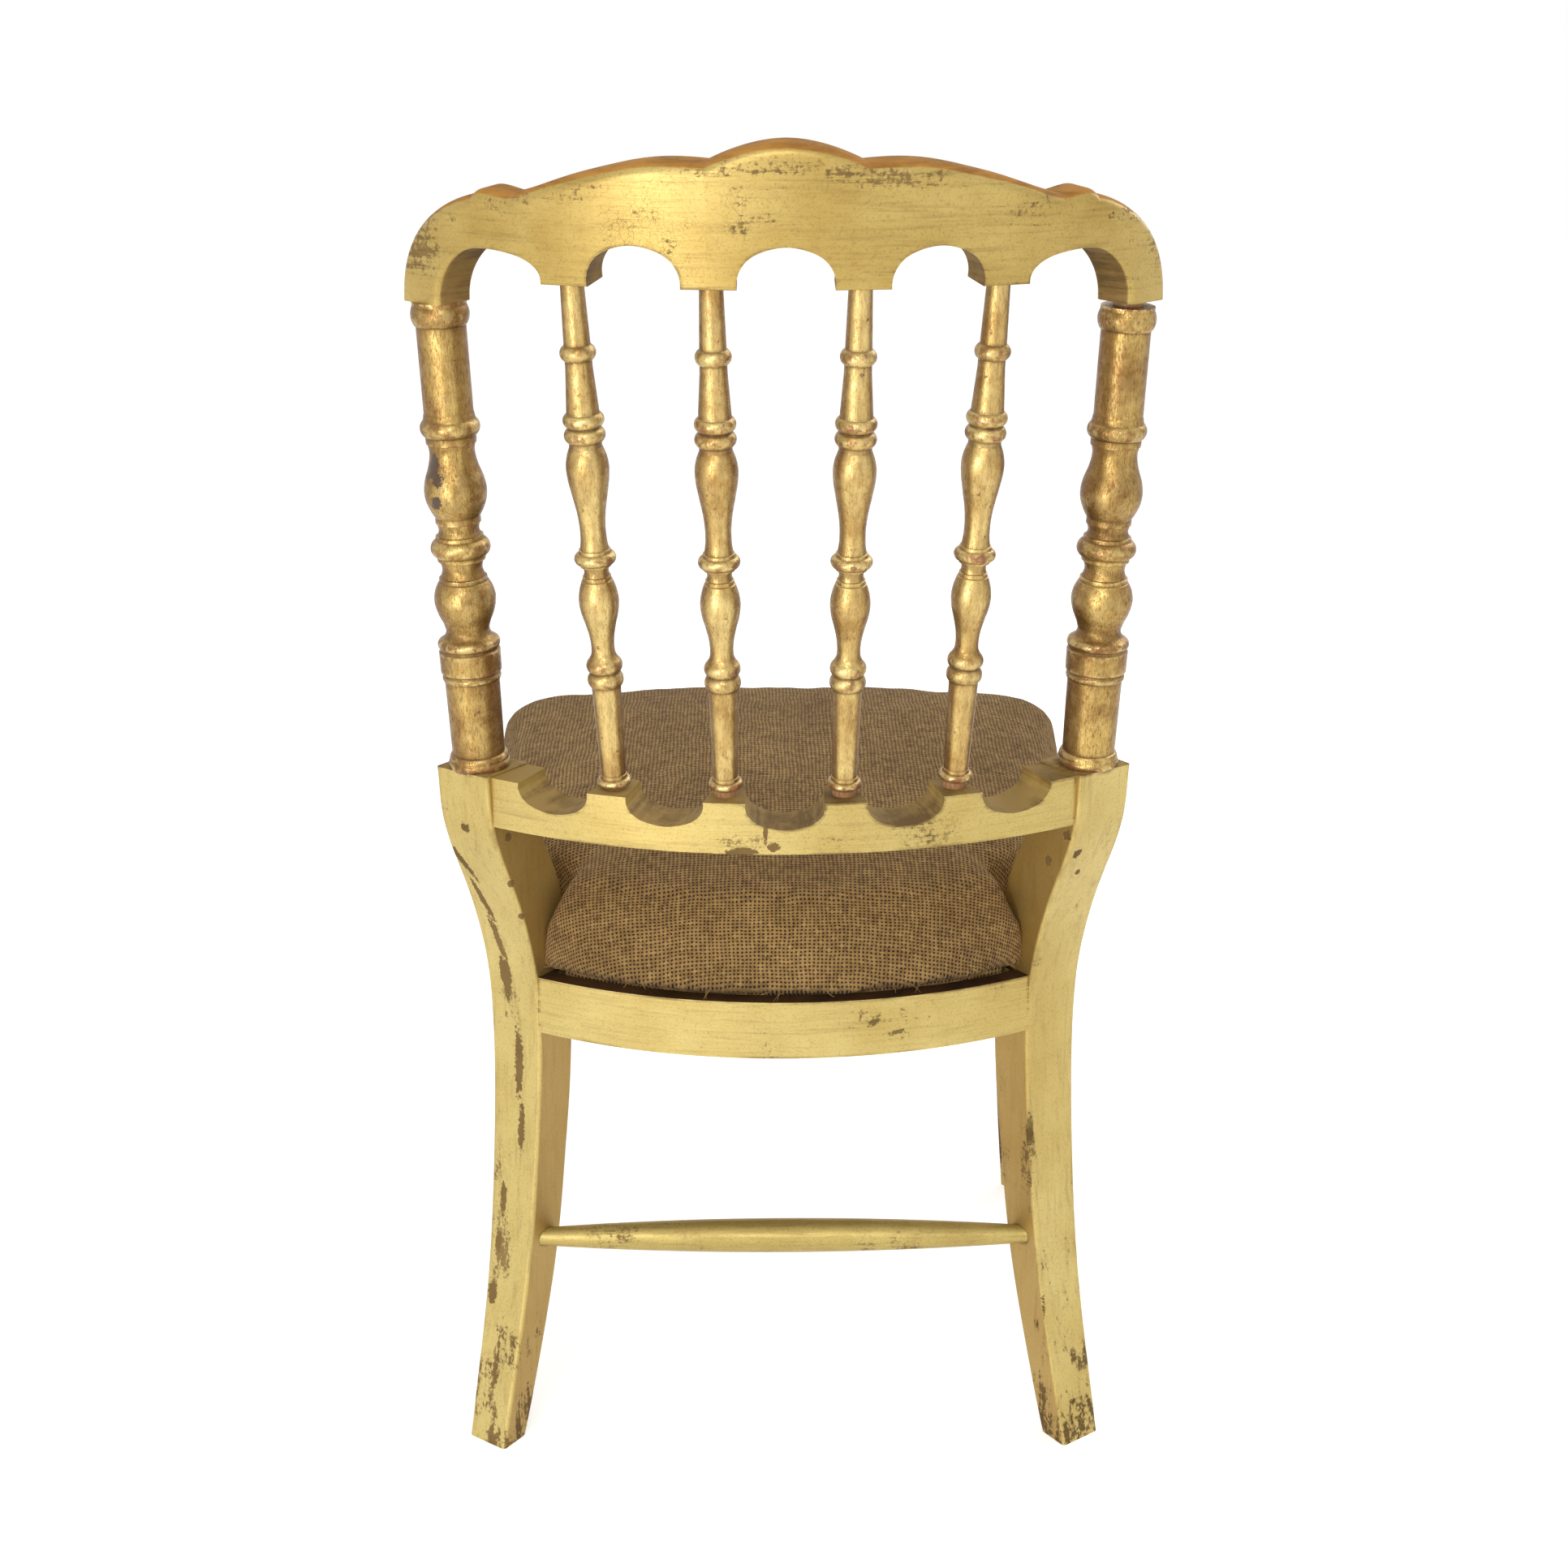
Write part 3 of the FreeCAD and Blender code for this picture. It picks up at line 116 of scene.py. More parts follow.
FLOOR_HALF = 9.0
FLOOR_LIFT_LIGHT = 0.56
SKY_LIGHT = 0.62
corners = np.array([(-1.0, -1.0, 0.0), (1.0, -1.0, 0.0), (1.0, 1.0, 0.0), (-1.0, 1.0, 0.0)])
floor_mesh = built("studio_floor", corners * FLOOR_HALF, [(0, 1, 2, 3)])
linked("studio_floor", floor_mesh)
floor_paper, tree = fresh("matt_white_paper")
paper = add(tree, "BsdfPrincipled", {"Base Color": linear("#ECEBE8"), "Roughness": 0.95,
                                     "Specular IOR Level": 0.1})
lift = add(tree, "Math", [seen_share(tree), FLOOR_LIFT_LIGHT], "MULTIPLY")
glow = add(tree, "Emission", {"Color": (1, 1, 1, 1), "Strength": lift})
add(tree, "OutputMaterial", {"Surface": add(tree, "AddShader", [paper, glow])})
floor_mesh.materials.append(floor_paper)

world = bpy.data.worlds.new("even_sky")
bpy.context.scene.world = world
world.use_nodes = True
tree = world.node_tree
tree.nodes.clear()
level = add(tree, "MapRange", {0: seen_share(tree), 3: SKY_LIGHT, 4: 1.0})
add(tree, "OutputWorld", {"Surface": add(tree, "Background", {"Color": (1, 1, 1, 1), "Strength": level})})

for name, place, aim, width, watts in (
        ("key_box", (1.25, 2.3, 0.55), (0, 0.1, 0.6), 0.7, 17),
        ("back_box", (0.3, 3.2, 2.2), (0, 0.05, 0.5), 1.4, 28),
        ("front_box", (-1.9, -1.6, 2.2), (0, 0, 0.45), 1.8, 22)):
    lamp = bpy.data.lights.new(name, "AREA")
    lamp.size = width
    lamp.energy = watts
    box = linked(name, lamp)
    box.location = place
    box.rotation_euler = (Vector(aim) - Vector(place)).to_track_quat("-Z", "Y").to_euler()


# Rear legs: swept and squared beech, oil gilded a satin yellow over a brown ground. The leaf is
# rubbed off the arrises, the feet and where chairs were stacked against each other.
def finish_solid(name, material):
    """Gives a solid of the frame its finish."""
    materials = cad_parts[name].data.materials
    materials.clear()
    materials.append(material)


def coat(tree, under, over, share, low=None, high=None, most=1.0, least=0.0):
    """The colour under it, covered by a second one in a share. With a low and a high end the share
    goes from least to most while the value that is given goes from low to high."""
    if low is not None:
        share = add(tree, "MapRange", [share, low, high, least, most])
    over = linear(over) if isinstance(over, str) else over
    return add(tree, "Mix", {0: share, 6: under, 7: over}, data_type="RGBA")


def surface(material, looks):
    """Closes a material with one opaque surface of these looks."""
    skin = add(material.node_tree, "BsdfPrincipled", looks)
    add(material.node_tree, "OutputMaterial", {"Surface": skin})
    return material


def worn_place(tree, place, facing, spot, ragged):
    """Mask of one worn place, given as centre, lean in degrees and half axes, on a piece turned by
    facing in degrees: 1 inside that ellipsoid, its edge made ragged."""
    centre, lean, half = spot
    turn = (0, math.radians(lean), math.radians(facing))
    inside = add(tree, "Mapping", {"Vector": place, "Location": centre, "Rotation": turn, "Scale": half},
                 vector_type="TEXTURE")
    reach = add(tree, "VectorMath", [inside], "LENGTH")
    frayed = add(tree, "Math", [ragged, 3.4, reach], "MULTIPLY_ADD")
    return add(tree, "MapRange", [frayed, 2.64, 2.52])


def gilded_flat(name, grain, leaf, top, top_share=0.0, foot_wear=0.0, arris_wear=1.0, crackle=1.0,
                facing=0, scrapes=(), rubs=(), inner=0.0, bow=None, sawn=("#B0924E", "#7E6030"), edge=None):
    """Satin gold leaf over a brown ground. Wear is the greatest of the arris, speck, crack, foot and
    scrape masks, each a noise cut at a level; the leaf shows where it is 0. grain is the number of
    cycles a metre along x, y and z. rubs are places where the specks crowd. inner is painted shade:
    it deepens faces that look to the chair's middle. Upper faces turn to the top colours by how far
    they look up. bow is the y of a bowed piece's axis: faces square to its radius turn to the sawn
    colours, and top faces that look towards the axis turn to the edge colour."""
    material, tree = fresh(name)
    place = add(tree, "TexCoord").outputs["Object"]
    normal = add(tree, "NewGeometry").outputs["Normal"]

    # Noises: cloudy tone, rubbed lines 1 to 2 mm apart along the grain, grit, patches of wear, the
    # bends of the cracks, fine wear along the grain and specks
    along = add(tree, "Mapping", {"Vector": place, "Scale": grain})
    cloud, lines, grit, patches, bent, fine, speck = (
        add(tree, "TexNoise", {"Vector": way, "Scale": scale, "Detail": detail, "Roughness": rough})
        for way, scale, detail, rough in (
            (place, 13.0, 5.0, 0.62), (along, 1.0, 6.0, 0.68), (place, 700.0, 3.0, 0.7),
            (place, 17.0, 5.0, 0.65), (place, 90.0, 3.0, 0.6), (along, 0.5, 7.0, 0.74),
            (place, 380.0, 4.0, 0.65)))

    # Leaf: from the cloudy tone to its rubbed lines and grit. Faces that look inwards are deepened with
    # painted shade
    tone = coat(tree, linear(leaf[0]), leaf[1], cloud, 0.36, 0.66)
    tone = coat(tree, tone, leaf[2], lines, 0.5, 0.72, 0.42)
    tone = coat(tree, tone, leaf[2], grit, 0.52, 0.72, 0.5)
    way = add(tree, "SeparateXYZ", [normal]).outputs
    at = add(tree, "SeparateXYZ", [place]).outputs
    side_sign = add(tree, "Math", [at["X"]], "SIGN")
    inwards = add(tree, "Math", [side_sign, way["X"]], "MULTIPLY")
    tone = coat(tree, tone, "#9C7232", inwards, -0.35, -0.7, inner)

    # Fine cracks across the size, some 4 mm apart, only in patches
    bent = add(tree, "VectorMath", {0: bent.outputs["Color"], "Scale": 0.007}, "SCALE")
    bent = add(tree, "VectorMath", [place, bent], "ADD")
    cells = add(tree, "TexVoronoi", {"Vector": bent, "Scale": 230.0}, feature="DISTANCE_TO_EDGE")
    crack = add(tree, "MapRange", [cells.outputs["Distance"], 0.026, 0.004])
    crack_level = add(tree, "MapRange", [patches, 0.5, 0.66, 0.0, 0.5 * crackle])
    crack = add(tree, "Math", [crack, crack_level], "MULTIPLY")

    # Wear, each mask with its own cluster noise so that it comes in patches
    broken = add(tree, "Math", [speck, fine], "ADD")
    crowd = add(tree, "Math", [broken, 0.5, patches], "MULTIPLY_ADD")
    broken = add(tree, "Math", [broken, 0.5], "MULTIPLY")
    soft = add(tree, "Bevel", {"Radius": 0.0034}, samples=4)
    same = add(tree, "VectorMath", [soft, normal], "DOT_PRODUCT")
    arris = add(tree, "MapRange", [same, 0.998, 0.88])
    ragged = add(tree, "Math", [patches, fine], "ADD")
    arris_level = add(tree, "MapRange", [ragged, 0.94, 1.14, 0.0, 1.3 * arris_wear])
    wear = add(tree, "Math", [arris, arris_level], "MULTIPLY")
    for spot in rubs:
        rub = worn_place(tree, place, facing, spot, patches)
        crowd = add(tree, "Math", [rub, 0.13, crowd], "MULTIPLY_ADD")
    specks = add(tree, "MapRange", [crowd, 1.165, 1.25, 0.0, 0.85])
    low = add(tree, "MapRange", [at["Z"], 0.16, 0.0, 0.0, foot_wear])
    worn_low = add(tree, "Math", [ragged, low], "ADD")
    worn_low = add(tree, "Math", [speck, 0.5, worn_low], "MULTIPLY_ADD")
    foot = add(tree, "MapRange", [worn_low, 1.5, 1.58])
    scraped = [worn_place(tree, place, facing, spot, broken) for spot in scrapes]
    for mask in [specks, foot, crack] + scraped:
        wear = add(tree, "Math", [wear, mask], "MAXIMUM")
    wear = add(tree, "Math", [wear, 0.92], "MULTIPLY", use_clamp=True)

    # Brown ground, greyer where dirt has settled
    ground = coat(tree, linear("#80633A"), "#5A4426", cloud, 0.36, 0.66)
    colour = coat(tree, tone, ground, wear)
    bare = wear
    if bow is not None:
        from_axis = add(tree, "VectorMath", [place, (0, -bow, 0)], "ADD")
        from_axis = add(tree, "VectorMath", [from_axis, (1, 1, 0)], "MULTIPLY")
        from_axis = add(tree, "VectorMath", [from_axis], "NORMALIZE")
        outward = add(tree, "VectorMath", [from_axis, normal], "DOT_PRODUCT")
        square = add(tree, "Math", [outward], "ABSOLUTE")
        square = add(tree, "Math", [patches, -0.6, square], "MULTIPLY_ADD")
        square = add(tree, "MapRange", [square, 0.3, 0.12, 0.0, 0.9])
        raw = coat(tree, linear(sawn[0]), sawn[1], ragged, 0.88, 1.14)
        colour = coat(tree, colour, raw, square)
        bare = add(tree, "Math", [bare, square], "MAXIMUM")
    # Upper faces: bare or rubbed, by how far the face looks up
    looks_up = add(tree, "Math", [patches, 0.5, way["Z"]], "MULTIPLY_ADD")
    up = add(tree, "MapRange", [looks_up, 0.72, 0.86, 0.0, top_share])
    upper = coat(tree, linear(top[0]), top[1], ragged, 0.9, 1.15)
    colour = coat(tree, colour, upper, up)
    bare = add(tree, "Math", [bare, up], "MAXIMUM")
    if edge:
        to_axis = add(tree, "Math", [patches, -0.9, outward], "MULTIPLY_ADD")
        darker = add(tree, "MapRange", [to_axis, -0.42, -0.58])
        darker = add(tree, "Math", [darker, up], "MULTIPLY")
        colour = coat(tree, colour, edge, darker)
    relief = add(tree, "Math", [lines, wear], "SUBTRACT")
    return surface(material, {
        "Base Color": colour,
        "Metallic": add(tree, "MapRange", [bare, 0.0, 1.0, 0.62, 0.0]),
        "Roughness": add(tree, "MapRange", [bare, 0.0, 1.0, 0.38, 0.7]),
        "Specular IOR Level": add(tree, "MapRange", [bare, 0.0, 1.0, 0.5, 0.12]),
        "Normal": add(tree, "Bump", {"Height": relief, "Strength": 0.35, "Distance": 0.0004})})


PALE_LEAF = ("#D2BC76", "#C2A860", "#8F7640")
RUBBED_TOP = ("#A0824A", "#6C522A")
LEG_GRAIN = (240.0, 240.0, 26.0)
LEG_FACING = 35.5
for name, facing, scrapes, rubs in (
        ("rear_leg_left", -LEG_FACING, (
            ((0.2085, 0.1272, 0.424), 27, (0.0032, 0.011, 0.020)),
            ((0.1975, 0.1216, 0.396), 17, (0.0024, 0.010, 0.024)),
            ((0.1890, 0.1165, 0.363), 9, (0.0034, 0.010, 0.026)),
            ((0.1852, 0.1128, 0.337), 0, (0.0052, 0.010, 0.020)),
            ((0.1782, 0.1158, 0.272), 0, (0.0044, 0.010, 0.030)),
            ((0.1780, 0.1205, 0.226), 0, (0.0034, 0.010, 0.024)),
            ((0.1925, 0.1172, 0.172), 0, (0.0030, 0.010, 0.013)),
            ((0.1970, 0.1203, 0.140), 0, (0.0030, 0.010, 0.009)),
            ((0.2025, 0.1245, 0.104), 0, (0.0040, 0.010, 0.010)),
            ((0.2030, 0.1423, 0.452), 0, (0.0034, 0.0034, 0.0038)),
            ((0.1750, 0.1440, 0.414), 0, (0.0034, 0.0034, 0.0034)),
            ((0.1757, 0.1447, 0.446), 0, (0.0030, 0.0030, 0.0030)),
            ((0.1705, 0.1375, 0.388), 0, (0.0030, 0.0030, 0.0034))), (
            ((0.1850, 0.1165, 0.315), 0, (0.020, 0.014, 0.022)),
            ((0.1850, 0.1500, 0.030), 0, (0.014, 0.030, 0.050)),
            ((0.1960, 0.1230, 0.140), 0, (0.014, 0.014, 0.060)))),
        ("rear_leg_right", LEG_FACING, (
            ((-0.1872, 0.1472, 0.434), 0, (0.0036, 0.0036, 0.0042)),
            ((-0.1898, 0.1376, 0.418), 0, (0.0024, 0.0024, 0.0026)),
            ((-0.1706, 0.1376, 0.426), 0, (0.0036, 0.0036, 0.0044)),
            ((-0.1795, 0.1500, 0.448), 0, (0.0040, 0.0040, 0.0040)),
            ((-0.1670, 0.1285, 0.225), 0, (0.0030, 0.0040, 0.011)),
            ((-0.1662, 0.1310, 0.190), 0, (0.0032, 0.0040, 0.014)),
            ((-0.1800, 0.1440, 0.110), 0, (0.0026, 0.0050, 0.022))), (
            ((-0.1930, 0.1340, 0.088), 0, (0.010, 0.016, 0.026)),
            ((-0.1850, 0.1500, 0.035), 0, (0.014, 0.030, 0.050)),
            ((-0.1665, 0.1290, 0.200), 0, (0.008, 0.012, 0.060))))):
    finish_solid(name, gilded_flat("oil_gilding_on_" + name, LEG_GRAIN, PALE_LEAF, RUBBED_TOP, 0.85, 0.3,
                                   facing=facing, scrapes=scrapes, rubs=rubs, inner=0.55))


# Front legs: straight square beech set cornerwise, with feet that sweep out a little. They are
# gilded with the rear legs; the part above the rebate is bare.
front_leaf = gilded_flat("oil_gilding_on_front_legs", LEG_GRAIN, PALE_LEAF, RUBBED_TOP, 0.85, 0.3,
                         inner=0.3)
for side in ("left", "right"):
    finish_solid("front_leg_" + side, front_leaf)


# Seat rails: four bowed beech rails tenoned into the legs. Their outsides are gilded, with some
# rubbed marks behind; their tops and the rebate for the seat stay bare, dark and greasy.
BARE_RAIL_TOP = ("#4C341E", "#2C1C0E")
RAIL_GRAIN = (22.0, 22.0, 560.0)
rail_leaf = gilded_flat("oil_gilding_on_rails", RAIL_GRAIN, PALE_LEAF, BARE_RAIL_TOP, 1.0, rubs=(
    ((-0.054, 0.163, 0.329), 0, (0.010, 0.016, 0.009)),
    ((-0.068, 0.161, 0.323), 0, (0.015, 0.016, 0.010)),
    ((-0.089, 0.156, 0.331), 0, (0.014, 0.016, 0.010)),
    ((-0.076, 0.159, 0.308), 0, (0.014, 0.016, 0.010)),
    ((0.055, 0.163, 0.314), 0, (0.012, 0.016, 0.008))))
for name in ("rear_seat_rail", "front_seat_rail", "side_seat_rail_left", "side_seat_rail_right"):
    finish_solid(name, rail_leaf)


# Lower back rail: a bowed rail with five scallops between the spindles' blocks, tenoned into the
# legs. The scallops are sawn and hardly gilded, and the flat below has two chipped places.
BACK_CENTRE_Y = -0.13873
BACK_RADIUS = 0.33
finish_solid("lower_back_rail", gilded_flat(
    "oil_gilding_on_back_rail", RAIL_GRAIN, PALE_LEAF, RUBBED_TOP, 0.78,
    scrapes=(((0.012, 0.2085, 0.474), 0, (0.0016, 0.006, 0.011)),
             ((0.026, 0.2070, 0.4585), 0, (0.009, 0.006, 0.0030)),
             ((0.007, 0.2085, 0.462), 0, (0.004, 0.006, 0.0035))),
    rubs=(((0.02, 0.207, 0.464), 0, (0.030, 0.012, 0.008)),), bow=BACK_CENTRE_Y))


# Rear stretcher: a plain round beech bar, thin where it enters the legs and swelling evenly to
# its middle, gilded like the legs. It is turned, so it is a profile carried round its own axis.
def back_point(centre_y, radius, angle, height):
    """Point of the bowed back: centre + radius (sin a, cos a), at a height."""
    turn = math.radians(angle)
    return np.array([radius * math.sin(turn), centre_y + radius * math.cos(turn), height])


def circle_of_three(a, b, c):
    """Centre and radius of the circle through three points: equal distance to all of them."""
    a, b, c = (np.array(p, float) for p in (a, b, c))
    heart = np.linalg.solve(np.array([b - a, c - a]) * 2, np.array([b @ b - a @ a, c @ c - a @ a]))
    return heart, np.hypot(*(a - heart))


def way_along(points):
    """Distance of each point of a line from its first, measured along it."""
    return np.concatenate([[0], np.cumsum(np.linalg.norm(np.diff(points, axis=0), axis=1))])


def arc_run(points, count):
    """Points of the circle through three points, from the first to the last."""
    heart, radius = circle_of_three(*points)
    angles = np.unwrap([math.atan2(*(p - heart)[::-1]) for p in points])
    turn = np.interp(np.linspace(0, 2, count), [0, 1, 2], angles)
    return heart + radius * np.stack([np.cos(turn), np.sin(turn)], 1)


def smooth_run(points, count):
    """Cubic pieces through all points. The slope at each is the centred difference by chord, and
    a piece is (2t^3 - 3t^2 + 1) p + (t^3 - 2t^2 + t) m + (3t^2 - 2t^3) q + (t^3 - t^2) n."""
    knots = way_along(points)
    slopes = np.gradient(points, knots, axis=0)
    at = np.linspace(0, knots[-1], count)
    i = np.clip(np.searchsorted(knots, at, side="right") - 1, 0, len(knots) - 2)
    span = (knots[i + 1] - knots[i])[:, None]
    t = (at - knots[i])[:, None] / span
    return ((2 * t ** 3 - 3 * t ** 2 + 1) * points[i] + (t ** 3 - 2 * t ** 2 + t) * span * slopes[i]
            + (3 * t ** 2 - 2 * t ** 3) * points[i + 1] + (t ** 3 - t ** 2) * span * slopes[i + 1])


def turned_profile(runs, length, radius, low_tenon, high_tenon, low_radius, high_radius):
    """Outline (height, radius) in metres, from pole to pole: straight, arc and smooth runs."""
    parts = [np.array([(-low_tenon, 0.0), (-low_tenon, low_radius), (0.0, low_radius)])]
    for kind, rows in runs:
        points = np.vstack([parts[-1][-1:], np.array(rows) * (length, radius)])
        if kind == "line":
            parts.append(points[1:])
        elif kind == "arc":
            parts.append(arc_run(points, 13)[1:])
        else:
            parts.append(smooth_run(points, 12 * len(points))[1:])
    parts.append(np.array([(length, min(high_radius, parts[-1][-1][1])),
                           (length + high_tenon, high_radius), (length + high_tenon, 0.0)]))
    outline = np.vstack(parts)
    keep = np.concatenate([[True], np.hypot(*np.diff(outline, axis=0).T) > 1e-7])
    return outline[keep]


def even_steps(outline, step):
    """The same outline with no piece longer than a step, every corner kept."""
    ends = np.hypot(*np.diff(outline, axis=0).T)
    counts = np.maximum(np.ceil(ends / step), 1).astype(int)
    index = np.repeat(np.arange(len(ends)), counts)
    share = np.concatenate([np.arange(n) / n for n in counts])[:, None]
    return np.vstack([outline[index] * (1 - share) + outline[index + 1] * share, outline[-1:]])


def store(mesh, name, values):
    """Keeps numbers or vectors, one a point, as a named attribute of the mesh."""
    vectors = values.ndim > 1
    data = mesh.attributes.new(name, "FLOAT_VECTOR" if vectors else "FLOAT", "POINT").data
    data.foreach_set("vector" if vectors else "value", values.astype(np.float32).ravel())


RING_STEP, GROOVE_STEP, GROOVE_SPAN, SHARP_DEGREES = 0.0009, 0.0004, 27, 38


def turned_piece(name, outline, foot, axis, around):
    """Surface of revolution: foot + axis h + radius (side cos t + cross sin t), closed at both poles.
    The point attribute turning holds the place in the piece's own axes, and groove holds how far
    the radius lies below its own average over 5 mm, in millimetres."""
    rows = even_steps(outline, RING_STEP)
    axis = axis / np.linalg.norm(axis)
    side = np.cross(axis, (0, 1, 0))
    side /= np.linalg.norm(side)
    cross = np.cross(axis, side)
    body_rows = rows[1:-1]
    count = len(body_rows)
    j = np.arange(around)
    t = j * 2 * np.pi / around
    h, r = body_rows[:, :1, None], body_rows[:, 1:2, None]
    ring = side * np.cos(t)[None, :, None] + cross * np.sin(t)[None, :, None]
    grid = foot + axis * h + ring * r
    points = np.vstack([grid.reshape(-1, 3), foot + axis * rows[0, 0], foot + axis * rows[-1, 0]])
    here = np.arange(count * around).reshape(count, around)
    after = np.roll(here, -1, axis=1)
    quads = np.stack([here[:-1], after[:-1], after[1:], here[1:]], -1).reshape(-1, 4)
    low, high = np.full(around, here.size), np.full(around, here.size + 1)
    mesh = built(name, points, quads, np.stack([after[0], here[0], low], 1),
                 np.stack([here[-1], after[-1], high], 1))
    path = way_along(body_rows)
    even = np.arange(0, path[-1], GROOVE_STEP)
    window = np.exp(-np.linspace(-2, 2, GROOVE_SPAN) ** 2)
    padded = np.pad(np.interp(even, path, body_rows[:, 1]), GROOVE_SPAN // 2, mode="edge")
    mean = np.convolve(padded, window / window.sum(), "valid")
    groove = (np.interp(path, even, mean) - body_rows[:, 1]) * 1000
    own = np.stack(np.broadcast_arrays(r[..., 0] * np.cos(t), r[..., 0] * np.sin(t), h[..., 0]), -1)
    store(mesh, "turning", np.vstack([own.reshape(-1, 3), [0, 0, rows[0, 0]], [0, 0, rows[-1, 0]]]))
    store(mesh, "groove", np.concatenate([np.repeat(groove, around), [0, 0]]))
    mesh.shade_smooth()
    mesh.set_sharp_from_angle(angle=math.radians(SHARP_DEGREES))
    piece = linked(name, mesh)
    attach(piece, "chair_frame")
    return piece


reach, thin, thick, entry = 0.165, 0.0062, 0.0116, 0.014
STRETCHER_BACK, STRETCHER_HEIGHT = 0.261, 0.145
across = np.linspace(-reach, reach, 61)
outline = np.vstack([[(-reach - entry, 0.0), (-reach - entry, thin)],
                     np.stack([across, thick - (thick - thin) * (across / reach) ** 2], 1),
                     [(reach + entry, thin), (reach + entry, 0.0)]])
middle = back_point(BACK_CENTRE_Y, STRETCHER_BACK, 0, STRETCHER_HEIGHT)
stretcher = turned_piece("turned_stretcher", outline, middle, np.array([1.0, 0, 0]), 48)
stretcher.data.materials.append(gilded_flat(
    "oil_gilding_on_stretcher", (26.0, 420.0, 420.0), ("#C6B068", "#B09854", "#84683A"), RUBBED_TOP,
    0.15, 0.0, 0.0, rubs=(((0.12, 0.122, 0.150), 0, (0.030, 0.02, 0.02)),)))
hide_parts("rear_stretcher")


# Corner posts: turned beech, burnished gold over a red ground that shows on the rings, with
# brown dirt in the grooves. Each stands on its leg's block and carries an end of the crest.
POST_RUNS = (
    ("line", ((0.0, 0.9436),)), ("arc", ((0.0097, 1.0), (0.0193, 0.9538))),
    ("arc", ((0.0255, 0.9436), (0.0317, 0.9026))), ("line", ((0.0338, 0.8462), (0.1983, 0.8769))),
    ("arc", ((0.2055, 0.9385), (0.2124, 0.9026))),
    ("line", ((0.2159, 0.8974), (0.2193, 0.9692), (0.2638, 0.9795), (0.2676, 0.9333), (0.2717, 0.9385))),
    ("arc", ((0.28, 0.9949), (0.2897, 0.9333))),
    ("curve", ((0.2976, 0.7641), (0.3086, 0.6923), (0.3241, 0.7385), (0.3483, 0.8872), (0.381, 0.9744),
               (0.4034, 0.8974), (0.4159, 0.8))),
    ("line", ((0.4172, 0.7641), (0.4262, 0.759), (0.4272, 0.7026))),
    ("curve", ((0.4448, 0.6333), (0.4621, 0.6923))), ("line", ((0.4631, 0.7538), (0.471, 0.7692))),
    ("arc", ((0.4897, 0.941), (0.5083, 0.7692))), ("line", ((0.5162, 0.7487), (0.5172, 0.6821))),
    ("curve", ((0.5283, 0.6333), (0.5424, 0.6769))), ("line", ((0.5434, 0.7128), (0.5559, 0.7077))),
    ("curve", ((0.5724, 0.841), (0.5931, 0.9487), (0.6121, 0.9744), (0.6345, 0.9231), (0.6621, 0.7846),
               (0.6793, 0.7231), (0.6948, 0.7026), (0.7103, 0.7436))),
    ("line", ((0.7114, 0.7846), (0.7255, 0.7897))), ("arc", ((0.7431, 0.9282), (0.7593, 0.8205))),
    ("line", ((0.7638, 0.8), (0.771, 0.7846), (0.7738, 0.7667), (0.9503, 0.7667), (0.9524, 0.8051))),
    ("arc", ((0.9724, 0.8974), (0.991, 0.8308))), ("line", ((1.0, 0.8308),)))


